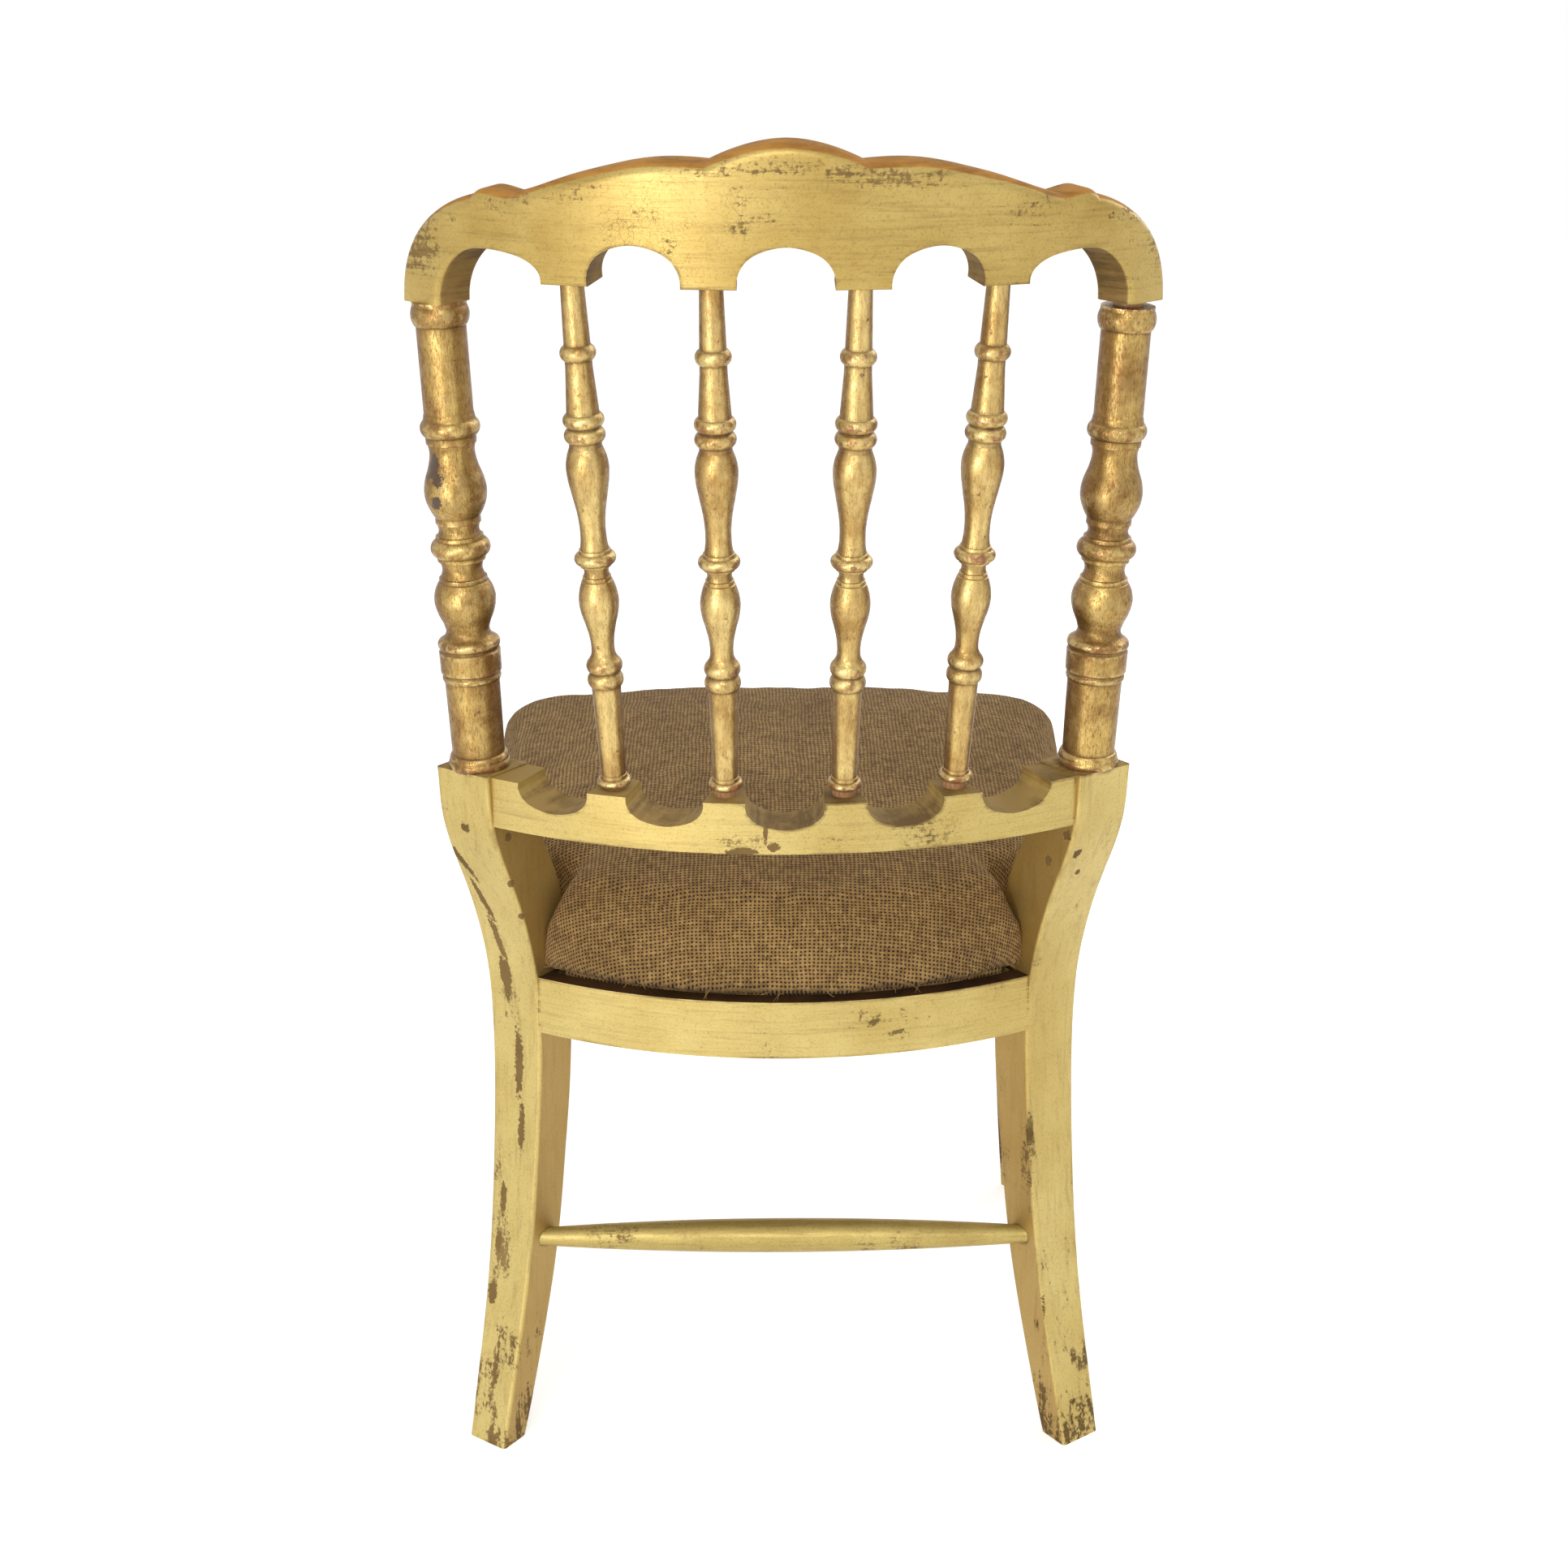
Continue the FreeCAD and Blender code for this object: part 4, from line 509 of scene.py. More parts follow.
def gilded_turning(name, length, pale, deep, dulled, dark_spots=()):
    """Burnished leaf on turnings: gold with streaks round and along the piece, red ground where the
    groove attribute is below zero (crowns of the rings), dark dirt where it is above (grooves).
    dulled is the share that the brown mottle takes at most."""
    material, tree = fresh(name)
    own = add(tree, "Attribute", attribute_name="turning").outputs["Vector"]
    depth = add(tree, "Attribute", attribute_name="groove").outputs["Fac"]
    place = add(tree, "TexCoord").outputs["Object"]
    cloud = add(tree, "TexNoise", {"Vector": place, "Scale": 24.0, "Detail": 5.0, "Roughness": 0.65})
    tone = coat(tree, linear(pale), deep, cloud, 0.38, 0.64)
    along = add(tree, "Mapping", {"Vector": own, "Scale": (420.0, 420.0, 60.0)})
    streaks = add(tree, "TexNoise", {"Vector": along, "Scale": 1.0, "Detail": 6.0, "Roughness": 0.7})
    tone = coat(tree, tone, "#745230", streaks, 0.47, 0.66, 0.45)
    along = add(tree, "Mapping", {"Vector": own, "Scale": (1100.0, 1100.0, 260.0)})
    mottle = add(tree, "TexNoise", {"Vector": along, "Scale": 1.0, "Detail": 4.0, "Roughness": 0.75})
    tone = coat(tree, tone, "#6A4824", mottle, 0.5, 0.64, dulled)
    rubbed = add(tree, "TexNoise", {"Vector": place, "Scale": 130.0, "Detail": 5.0, "Roughness": 0.72})
    crown = add(tree, "MapRange", [depth, -0.05, -0.9, 0.0, 0.3])
    crown = add(tree, "Math", [crown, rubbed], "ADD")
    red = add(tree, "MapRange", [crown, 0.6, 0.72, 0.0, 0.8])
    tone = coat(tree, tone, "#8E5034", red)
    # Painted shade: faces that look to either side, along x, are deepened, standing in for the dark sides
    # of a shining turning
    normal = add(tree, "NewGeometry").outputs["Normal"]
    painted_side_shade = add(tree, "SeparateXYZ", [normal]).outputs["X"]
    painted_side_shade = add(tree, "Math", [painted_side_shade], "ABSOLUTE")
    tone = coat(tree, tone, "#6E4824", painted_side_shade, 0.45, 0.96, 0.85)
    # Crowns that kept their leaf get the palest colour: partly their leaf, partly a painted highlight for
    # the light they catch
    kept_leaf_and_highlight = add(tree, "MapRange", [depth, 0.1, -0.5, 0.0, 0.55])
    kept = add(tree, "MapRange", [rubbed, 0.52, 0.44])
    kept_leaf_and_highlight = add(tree, "Math", [kept_leaf_and_highlight, kept], "MULTIPLY")
    tone = coat(tree, tone, "#ECD898", kept_leaf_and_highlight)
    sunk = add(tree, "MapRange", [depth, 0.12, 0.8, 0.0, 0.95])
    dirt_level = add(tree, "MapRange", [rubbed, 0.3, 0.6, 0.55, 1.0])
    dirt = add(tree, "Math", [sunk, dirt_level], "MULTIPLY")
    tone = coat(tree, tone, "#4E3220", dirt)
    spots = add(tree, "MapRange", [rubbed, 0.66, 0.7])
    for spot in dark_spots:
        mask = worn_place(tree, place, 0, spot, rubbed)
        spots = add(tree, "Math", [spots, mask], "MAXIMUM")
    tone = coat(tree, tone, "#54402C", spots)
    # The bare tenon below the foot, and above the head
    up = add(tree, "SeparateXYZ", [own]).outputs["Z"]
    under = add(tree, "Math", [up, -0.0001], "LESS_THAN")
    over = add(tree, "Math", [up, length + 0.0001], "GREATER_THAN")
    bare = add(tree, "Math", [under, over], "MAXIMUM")
    wood = coat(tree, linear("#B98C62"), "#8E6440", streaks, 0.47, 0.66)
    colour = coat(tree, tone, wood, bare)
    dull = red
    for mask in (dirt, spots, bare):
        dull = add(tree, "Math", [dull, mask], "MAXIMUM")
    relief = add(tree, "Math", [streaks, mottle], "ADD")
    relief = add(tree, "Math", [relief, dirt], "SUBTRACT")
    return surface(material, {
        "Base Color": colour,
        "Metallic": add(tree, "MapRange", [dull, 0.0, 1.0, 0.85, 0.1]),
        "Roughness": add(tree, "MapRange", [mottle, 0.42, 0.66, 0.24, 0.6]),
        "Normal": add(tree, "Bump", {"Height": relief, "Strength": 0.3, "Distance": 0.0004})})


CREST_CENTRE_Y = -0.05273
CREST_RADIUS, CREST_LEAN, CREST_TAB = 0.288, 0.12, 0.801
POST_HEAD, POST_THICK, POST_TENON = 0.7835, 0.0195, 0.016
POST_SPOTS = {"left": (((0.2112, 0.1575, 0.6839), 0, (0.007, 0.012, 0.010)),
                       ((0.2095, 0.1570, 0.6640), 0, (0.004, 0.010, 0.004))), "right": ()}
for name, sign, gap in (("left", 1, 0.0), ("right", -1, 0.0035)):
    foot = back_point(BACK_CENTRE_Y, 0.333, sign * LEG_FACING, 0.4905)
    head = back_point(CREST_CENTRE_Y, CREST_RADIUS + CREST_LEAN * (POST_HEAD - CREST_TAB), sign * 45.3,
                      POST_HEAD)
    length = np.linalg.norm(head - foot) - gap
    outline = turned_profile(POST_RUNS, length, POST_THICK, POST_TENON, POST_TENON + gap, 0.009, 0.009)
    post = turned_piece("turned_post_" + name, outline, foot, head - foot, 72)
    post.data.materials.append(gilded_turning("burnished_gilding_on_post_" + name, length,
                                              "#C8A862", "#8C6836", 0.7, POST_SPOTS[name]))
    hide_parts("back_post_" + name)


# Spindles: four thinner turnings of the same kind, let into the scallop rail's blocks and the
# crest's tabs. Each stands a few millimetres out of its hole on its bare tenon.
SPINDLE_RUNS = (
    ("line", ((0.0, 0.6825),)), ("arc", ((0.0082, 0.8333), (0.0163, 0.7063))),
    ("line", ((0.017, 0.6587), (0.0235, 0.6429), (0.0245, 0.6111), (0.2072, 0.7063), (0.2117, 0.7222))),
    ("arc", ((0.2261, 0.873), (0.2405, 0.7302))), ("line", ((0.2424, 0.7143),)),
    ("arc", ((0.2561, 0.873), (0.2692, 0.7222))),
    ("curve", ((0.279, 0.5952), (0.292, 0.5556), (0.3148, 0.5952), (0.3409, 0.7302), (0.367, 0.8968),
               (0.3899, 0.9524), (0.4127, 0.873), (0.4303, 0.7381))),
    ("line", ((0.4316, 0.6905), (0.4388, 0.6746), (0.4398, 0.619))),
    ("curve", ((0.4486, 0.5794), (0.4584, 0.627))), ("line", ((0.4594, 0.746), (0.463, 0.7778))),
    ("arc", ((0.4747, 0.9921), (0.4865, 0.7778))), ("line", ((0.4923, 0.746), (0.4933, 0.6825))),
    ("curve", ((0.5073, 0.631), (0.5302, 0.6071), (0.5628, 0.6667), (0.602, 0.8413), (0.6346, 0.9762),
               (0.6574, 1.0), (0.677, 0.9127), (0.694, 0.7619))),
    ("line", ((0.7011, 0.7698),)), ("arc", ((0.7148, 0.9643), (0.7285, 0.7778))),
    ("line", ((0.7305, 0.7619),)), ("arc", ((0.7442, 0.9643), (0.7566, 0.7857))),
    ("line", ((0.7602, 0.7619), (0.8401, 0.631), (0.8551, 0.627), (0.8561, 0.6746))),
    ("arc", ((0.8695, 0.8333), (0.8825, 0.6746))), ("line", ((0.8845, 0.6151), (1.0, 0.5357))))
SPINDLE_THICK, SPINDLE_TENON, SPINDLE_TENON_HALF, SPINDLE_HEAD_SHARE = 0.0126, 0.014, 0.0071, 0.5357
for number, (low, high, stand) in enumerate(((18.58, 24.6, 0.0022), (6.29, 8.25, 0.0055),
                                             (-6.29, -8.25, 0.0055), (-18.58, -24.6, 0.0055)), 1):
    foot = back_point(BACK_CENTRE_Y, BACK_RADIUS, low, 0.4895)
    head = back_point(CREST_CENTRE_Y, CREST_RADIUS, high, CREST_TAB)
    way = (head - foot) / np.linalg.norm(head - foot)
    length = np.linalg.norm(head - foot) - stand
    outline = turned_profile(SPINDLE_RUNS, length, SPINDLE_THICK, SPINDLE_TENON + stand, SPINDLE_TENON,
                             SPINDLE_TENON_HALF, SPINDLE_THICK * SPINDLE_HEAD_SHARE)
    spindle = turned_piece("turned_spindle_%d" % number, outline, foot + way * stand, way, 56)
    spindle.data.materials.append(gilded_turning("burnished_gilding_on_spindle_%d" % number, length,
                                                 "#DCC07C", "#B08A4C", 0.4))
    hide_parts("spindle_%d" % number)


# Crest rail: a thick bowed beech board with a lobed, rounded top. Gilded like the legs and finely
# cracked; hands have worn its top to an orange-brown band and its front edge to dark wood.
finish_solid("crest_rail", gilded_flat(
    "oil_gilding_on_crest", (22.0, 22.0, 380.0), ("#C8AE66", "#B4964E", "#7C622E"),
    ("#BC8640", "#946730"), 1.0, 0.0, 0.8, 0.9,
    scrapes=(((-0.178, 0.176, 0.836), 0, (0.014, 0.016, 0.004)),),
    rubs=(((0.205, 0.155, 0.822), 0, (0.034, 0.040, 0.034)),
          ((0.165, 0.190, 0.842), 0, (0.030, 0.040, 0.016)),
          ((-0.150, 0.200, 0.840), 0, (0.060, 0.050, 0.014)),
          ((-0.205, 0.155, 0.815), 0, (0.026, 0.040, 0.034)),
          ((-0.055, 0.238, 0.860), 0, (0.050, 0.030, 0.010)),
          ((0.105, 0.215, 0.851), 9, (0.060, 0.030, 0.007)),
          ((0.02, 0.245, 0.866), 0, (0.070, 0.030, 0.010))),
    bow=CREST_CENTRE_Y, sawn=("#8E7040", "#5C4428"), edge="#4A3C2C"))


# Corner blocks: three-cornered offcuts of beech, glued and screwed into the inner corners under
# the seat. They and the loose seat frame are bare, sawn and brown with age.
def bare_beech(name, grain, pale, dark, glue=0.0):
    """Aged beech: short dark rays and long growth lines from two noises stretched along the grain."""
    material, tree = fresh(name)
    place = add(tree, "TexCoord").outputs["Object"]
    along = add(tree, "Mapping", {"Vector": place, "Scale": grain})
    growth = add(tree, "TexNoise", {"Vector": along, "Scale": 1.0, "Detail": 5.0, "Roughness": 0.6})
    rays = add(tree, "TexNoise", {"Vector": along, "Scale": 7.0, "Detail": 2.0})
    dust = add(tree, "TexNoise", {"Vector": place, "Scale": 28.0, "Detail": 5.0, "Roughness": 0.65})
    colour = coat(tree, linear(pale), dark, growth, 0.35, 0.68)
    colour = coat(tree, colour, "#5A3E26", rays, 0.6, 0.68, 0.5)
    colour = coat(tree, colour, "#6E5A44", dust, 0.48, 0.68, 0.5, glue)
    bump = add(tree, "Bump", {"Height": growth, "Strength": 0.4, "Distance": 0.0005})
    return surface(material, {"Base Color": colour, "Roughness": 0.72, "Specular IOR Level": 0.35,
                              "Normal": bump})


block_beech = bare_beech("sawn_beech_of_blocks", (60.0, 60.0, 420.0), "#A88258", "#7E5C3A", 0.1)
for corner in ("front_left", "front_right", "rear_left", "rear_right"):
    finish_solid("corner_block_" + corner, block_beech)


# Screws: eight slotted iron wood screws, two through each block, dull and brown in the slots.
def old_iron(name, bright, dark):
    """Dull iron: grey metal that turns brown and rough where a noise is high."""
    material, tree = fresh(name)
    place = add(tree, "TexCoord").outputs["Object"]
    spots = add(tree, "TexNoise", {"Vector": place, "Scale": 700.0, "Detail": 4.0, "Roughness": 0.7})
    metal = add(tree, "MapRange", [spots, 0.48, 0.6, 1.0, 0.2])
    rough = add(tree, "MapRange", [spots, 0.48, 0.6, 0.38, 0.75])
    colour = coat(tree, linear(bright), dark, spots, 0.48, 0.6)
    return surface(material, {"Base Color": colour, "Metallic": metal, "Roughness": rough})


finish_solid("corner_block_screws", old_iron("dull_iron_of_screws", "#7C766C", "#5C4636"))


# Loose seat frame: four flat beech pieces, the front and rear ones tongued into the sides.
for side, grain in (("front", (24.0, 260.0, 260.0)), ("rear", (24.0, 260.0, 260.0)),
                    ("left", (260.0, 24.0, 260.0)), ("right", (260.0, 24.0, 260.0))):
    finish_solid("seat_frame_" + side,
                 bare_beech("planed_beech_of_seat_frame_" + side, grain, "#B08A5C", "#8A6640"))


# Webbing: four jute straps across and three along, stretched over the loose frame and woven over
# and under each other. Each is a flat strap 50 mm wide, about 1.2 mm thick, with a striped selvage.
RAIL_TOP, SEAT_SLOPE, REAR_RAIL_Y, FRONT_RAIL_Y = 0.3405, 0.08, BACK_CENTRE_Y + 0.307, BACK_CENTRE_Y - 0.118


def seat_plane(y):
    """Height of the rails' top plane, which rises evenly to the front."""
    return RAIL_TOP + SEAT_SLOPE * (REAR_RAIL_Y - y)


SIDE_HEART, SIDE_ROUND = circle_of_three((0.1745, BACK_CENTRE_Y + 0.2146), (0.2075, BACK_CENTRE_Y + 0.077),
                                         (0.223, BACK_CENTRE_Y - 0.064))
REAR_ROUND, FRONT_ROUND = 0.332, 0.759
REAR_HEART = np.array([0.0, REAR_RAIL_Y - REAR_ROUND])
FRONT_HEART = np.array([0.0, FRONT_RAIL_Y + FRONT_ROUND])


def closed_sheet(name, top, low, ring=False):
    """Closed mesh between an upper and a lower grid of points of the same shape. The columns of a
    ring run all the way round and join, and a strip is closed at both ends."""
    rows, columns = top.shape[:2]
    over = np.arange(rows * columns).reshape(rows, columns)
    if ring:
        over = np.hstack([over, over[:, :1]])
    under = over + rows * columns
    faces = [np.stack([over[:-1, :-1], over[1:, :-1], over[1:, 1:], over[:-1, 1:]], -1),
             np.stack([under[:-1, :-1], under[:-1, 1:], under[1:, 1:], under[1:, :-1]], -1)]
    edges = [(over[-1], under[-1]), (over[0, ::-1], under[0, ::-1])]
    if not ring:
        edges = [(over[:, 0], under[:, 0]), (over[::-1, -1], under[::-1, -1])] + edges
    faces += [np.stack([upper[:-1], lower[:-1], lower[1:], upper[1:]], -1) for upper, lower in edges]
    return built(name, np.concatenate([top.reshape(-1, 3), low.reshape(-1, 3)]),
                 *[face.reshape(-1, 4) for face in faces])


HALF_THICK = 0.00055
HALF_WIDTH = 0.025


def strap_points(start, end, flip, crossings, across):
    """Upper and lower grid of one strap: its middle height waves by cos(pi (s - s0) / gap) between
    crossings, so that it passes over and under the other straps in turn."""
    line = start + (end - start) * np.linspace(0, 1, 120)[:, None]
    side = np.linspace(-HALF_WIDTH, HALF_WIDTH, 15)
    grid = line[:, None, :] + across * side[None, :, None]
    along = np.linalg.norm(line - start, axis=1)
    turn = np.interp(along, crossings, np.arange(len(crossings)) * np.pi)
    wave = np.cos(turn) * flip * HALF_THICK
    height = seat_plane(grid[..., 1]) - 0.0005 + wave[:, None]
    middle = np.stack([grid[..., 0], grid[..., 1], height], -1)
    return middle + (0, 0, HALF_THICK), middle - (0, 0, HALF_THICK), along, side


def cloth_lay(across, along, shape):
    """A sheet's own flat coordinates in metres, the same for its upper and its lower grid."""
    lay = np.zeros((2,) + shape)
    lay[..., 0], lay[..., 1] = across, along
    return lay.reshape(-1, 3)


def webbing_cloth(name):
    """Twilled strap: slanting ribs 2.2 mm apart across the yarns, a red-brown stripe near each
    selvage. Coordinates lay = (across, along) in metres."""
    material, tree = fresh(name)
    lay = add(tree, "Attribute", attribute_name="lay").outputs["Vector"]
    split = add(tree, "SeparateXYZ", [lay]).outputs
    slant = add(tree, "Math", [split["X"], 0.6, split["Y"]], "MULTIPLY_ADD")
    turn = add(tree, "Math", [slant, 2 * math.pi / 0.0022], "MULTIPLY")
    rib = add(tree, "Math", [turn], "SINE")
    yarn_noise = add(tree, "TexNoise", {"Vector": lay, "Scale": 420.0, "Detail": 3.0})
    tone = add(tree, "Math", [rib, 0.16, yarn_noise], "MULTIPLY_ADD")
    colour = coat(tree, linear("#6C5334"), "#A8865A", tone, 0.3, 0.75)
    edge = add(tree, "Math", [split["X"]], "ABSOLUTE")
    stripe = add(tree, "Math", [edge, 0.0195, 0.0014], "COMPARE")
    colour = coat(tree, colour, "#7A3E2C", stripe)
    bump = add(tree, "Bump", {"Height": rib, "Strength": 0.5, "Distance": 0.0003})
    return surface(material, {"Base Color": colour, "Roughness": 0.9, "Specular IOR Level": 0.2,
                              "Normal": bump})


def only_picked(pieces):
    """Picks these objects and makes the first one active, for the modelling tools."""
    bpy.ops.object.select_all(action="DESELECT")
    for piece in pieces:
        piece.select_set(True)
    bpy.context.view_layer.objects.active = pieces[0]


jute = webbing_cloth("striped_jute_webbing")
SEAT_INSET, SEAT_DEEP, SEAT_HALF, REAR_STRAP_REACH = 0.0238, 0.425, 0.1975, 0.128
across_y = FRONT_RAIL_Y + SEAT_DEEP * np.array([0.16, 0.39, 0.62, 0.85])
along_x = SEAT_HALF * np.array([-0.36, 0.0, 0.36])
outer_x = np.abs(along_x) + HALF_WIDTH
side_reach = SIDE_HEART[0] + np.sqrt((SIDE_ROUND - SEAT_INSET) ** 2 - (across_y - SIDE_HEART[1]) ** 2)
side_reach[3] = min(side_reach[3], REAR_STRAP_REACH)
front_end = FRONT_HEART[1] - np.sqrt((FRONT_ROUND - SEAT_INSET) ** 2 - outer_x ** 2)
rear_end = REAR_HEART[1] + np.sqrt((REAR_ROUND - SEAT_INSET) ** 2 - outer_x ** 2)
for name, first, starts, ends, crossings, across in (
        ("webbing_across", -1, (-side_reach, across_y), (side_reach, across_y),
         [along_x + reach for reach in side_reach], np.array([0.0, 1.0])),
        ("webbing_along", 1, (along_x, front_end), (along_x, rear_end),
         [across_y - end for end in front_end], np.array([1.0, 0.0]))):
    straps = []
    for number, (start, end, cross) in enumerate(zip(np.stack(starts, 1), np.stack(ends, 1), crossings)):
        flip = first * (-1) ** number
        top, low, along, side = strap_points(start, end, flip, cross, across)
        mesh = closed_sheet(name, top, low)
        store(mesh, "lay", cloth_lay(side[None, None, :], along[None, :, None], top.shape))
        straps.append(linked("woven_" + name, mesh))
    only_picked(straps)
    bpy.ops.object.join()
    webbing = straps[0]
    webbing.data.materials.append(jute)
    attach(webbing, "drop_in_seat")
    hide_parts(name)


# Base cloth: a plain woven cloth stretched over the webbing and tacked to the loose frame, cut
# away round the rear legs. It sags a little between its tacks.
LEG_TURN = math.radians(LEG_FACING)
LEG_OUT = np.array([math.sin(LEG_TURN), math.cos(LEG_TURN)])
LEG_SIDE = np.array([math.cos(LEG_TURN), -math.sin(LEG_TURN)])
BACK_HEART = np.array([0.0, BACK_CENTRE_Y])
LEG_HALF, LEG_FRONT = 0.0215, BACK_RADIUS * 0.8352
FRONT_CORNER_Y, FRONT_CORNER_SEARCH, FRONT_CORNER_REACH = -0.066, 0.036, 0.034


def leave_circle(heart, radius, point, way):
    """Where a line from a point leaves a circle: t = sqrt((o.w)^2 - o.o + r^2) - o.w."""
    off = point - heart
    reach = off @ way
    return point + way * (math.sqrt(reach ** 2 - off @ off + radius ** 2) - reach)


def arc_points(heart, radius, start, end, count):
    """Points along a circle from one angle to another, the last one left out."""
    a, b = (math.atan2(*(p - heart)[::-1]) for p in (start, end))
    turn = a + (b - a + math.pi) % (2 * math.pi) - math.pi
    angles = np.linspace(a, turn, count, endpoint=False)
    return heart + radius * np.stack([np.cos(angles), np.sin(angles)], 1)


def bend_points(start, corner, end, count):
    """Curve (1-t)^2 start + 2t(1-t) corner + t^2 end, the last point left out."""
    t = np.linspace(0, 1, count, endpoint=False)[:, None]
    return (1 - t) ** 2 * start + 2 * t * (1 - t) * corner + t ** 2 * end


def seat_outline(inset, gap, corner):
    """Closed line in plan at an inset from the rails' outer line, with a notch that keeps a gap to
    each rear leg. Every inset gives the same number of points."""
    rear_r, side_r, front_r = REAR_ROUND - inset, SIDE_ROUND - inset, FRONT_ROUND - inset
    inner = BACK_HEART - LEG_SIDE * (LEG_HALF + gap)
    front = BACK_HEART + LEG_OUT * (LEG_FRONT - gap)
    notch = inner + LEG_OUT * (LEG_FRONT - gap)
    rear_corner = leave_circle(REAR_HEART, rear_r, inner, LEG_OUT)
    side_corner = leave_circle(SIDE_HEART, side_r, front, LEG_SIDE)
    rear_start = leave_circle(REAR_HEART, rear_r, inner - LEG_SIDE * corner, LEG_OUT)
    rear_middle = np.array([0.0, REAR_HEART[1] + rear_r])

    def towards_notch(here):
        way = notch - here
        return here + way / np.linalg.norm(way) * min(corner, np.linalg.norm(way) * 0.8)

    def on_side(y):
        return SIDE_HEART[0] + np.sqrt(side_r ** 2 - (y - SIDE_HEART[1]) ** 2)

    levels = np.linspace(FRONT_CORNER_Y - FRONT_CORNER_SEARCH, FRONT_CORNER_Y + FRONT_CORNER_SEARCH, 400)
    levels = levels + BACK_CENTRE_Y
    inside = np.hypot(on_side(levels) - FRONT_HEART[0], levels - FRONT_HEART[1]) < front_r
    front_corner, side_stop, side_end = (
        np.array([on_side(y), y]) for y in (levels[np.argmax(inside)],
                                            levels[np.argmax(inside)] + FRONT_CORNER_REACH,
                                            side_corner[1] - corner))
    stop_x = front_corner[0] - FRONT_CORNER_REACH
    front_stop = np.array([stop_x, FRONT_HEART[1] - math.sqrt(front_r ** 2 - stop_x ** 2)])
    straight = np.linspace(0, 1, 8, endpoint=False)[:, None]
    side_turn, rear_turn = towards_notch(side_corner), towards_notch(rear_corner)
    half = np.vstack([
        arc_points(FRONT_HEART, front_r, np.array([0.0, FRONT_HEART[1] - front_r]), front_stop, 44),
        bend_points(front_stop, front_corner, side_stop, 10),
        arc_points(SIDE_HEART, side_r, side_stop, side_end, 52),
        bend_points(side_end, side_corner, side_turn, 8),
        side_turn + (notch - side_turn) * straight, notch + (rear_turn - notch) * straight,
        bend_points(rear_turn, rear_corner, rear_start, 8),
        arc_points(REAR_HEART, rear_r, rear_start, rear_middle, 24), [rear_middle]])
    return np.vstack([half, half[-2:0:-1] * (-1, 1)])


def capped_rings(name, grid):
    """Mesh of closed rings, one row each, joined row to row; the first and the last are filled."""
    index = np.arange(grid.shape[0] * grid.shape[1]).reshape(grid.shape[:2])
    after = np.roll(index, -1, axis=1)
    quads = np.stack([index[:-1], after[:-1], after[1:], index[1:]], -1)
    return built(name, grid, quads.reshape(-1, 4), [index[0, ::-1], index[-1]])


def hessian(name, pitch, pale="#B59159", deep="#816136", hole="#2A1C0B"):
    """Plain weave: warp and weft ridges |sin(pi u)| and |sin(pi v)|, each raised or lowered by
    cos(pi (v - 1/2 - floor u)) so that they pass over and under in turn; gaps where both are low.
    The threads deepen where they dip and the gaps take the hole colour, both painted shade."""
    material, tree = fresh(name)
    cloth = add(tree, "Attribute", attribute_name="lay").outputs["Vector"]
    wander = add(tree, "TexNoise", {"Vector": cloth, "Scale": 22.0, "Detail": 4.0, "Roughness": 0.6})
    shift = add(tree, "VectorMath", [wander.outputs["Color"], (0.5, 0.5, 0.5)], "SUBTRACT")
    shift = add(tree, "VectorMath", {0: shift, "Scale": 0.006}, "SCALE")
    wavy = add(tree, "VectorMath", [cloth, shift], "ADD")
    threads = add(tree, "VectorMath", {0: wavy, "Scale": 1.0 / pitch}, "SCALE")
    split = add(tree, "SeparateXYZ", [threads])
    u, v = split.outputs["X"], split.outputs["Y"]
    ridges = []
    for own, other, phase in ((u, v, 0.5), (v, u, -0.5)):
        number = add(tree, "Math", [own], "FLOOR")
        angle = add(tree, "Math", [own, math.pi], "MULTIPLY")
        wave = add(tree, "Math", [angle], "SINE")
        round_thread = add(tree, "Math", [wave], "ABSOLUTE")
        slub_place = add(tree, "CombineXYZ", [number, other, phase * 40])
        slub_way = add(tree, "Mapping", {"Vector": slub_place, "Scale": (7.3, 0.3, 1.0)})
        slub = add(tree, "TexNoise", {"Vector": slub_way, "Scale": 1.0, "Detail": 3.0, "Roughness": 0.6})
        fat = add(tree, "MapRange", [slub, 0.3, 0.7, 0.72, 1.1])
        passing = add(tree, "Math", [other, number], "SUBTRACT")
        passing = add(tree, "Math", [passing, phase], "SUBTRACT")
        passing = add(tree, "Math", [passing, math.pi], "MULTIPLY")
        over = add(tree, "Math", [passing], "COSINE")
        over = add(tree, "Math", [over, 0.3, 0.7], "MULTIPLY_ADD")
        body = add(tree, "Math", [round_thread, fat], "MULTIPLY")
        ridge = add(tree, "Math", [body, over], "MULTIPLY")
        ridges.append((ridge, body, slub))
    height = add(tree, "Math", [ridges[0][0], ridges[1][0]], "MAXIMUM")
    cover = add(tree, "Math", [ridges[0][1], ridges[1][1]], "MAXIMUM")
    slubs = add(tree, "Math", [ridges[0][2], ridges[1][2]], "ADD")
    stain = add(tree, "TexNoise", {"Vector": cloth, "Scale": 9.0, "Detail": 4.0, "Roughness": 0.6})
    mixed = add(tree, "Math", [slubs, stain], "ADD")
    yarn = coat(tree, linear(deep), pale, mixed, 1.2, 1.8)
    # Painted shade: the threads deepen where they dip low, and the gaps between them take the dark hole
    # colour
    yarn = coat(tree, yarn, "#6E5230", height, 0.35, 0.85, 0.0, 0.45)
    colour = coat(tree, yarn, hole, cover, 0.7, 0.48)
    bump = add(tree, "Bump", {"Height": height, "Strength": 0.9, "Distance": 0.0009})
    return surface(material, {"Base Color": colour, "Roughness": 0.92, "Specular IOR Level": 0.2,
                              "Sheen Weight": 0.05, "Sheen Roughness": 0.6, "Normal": bump})


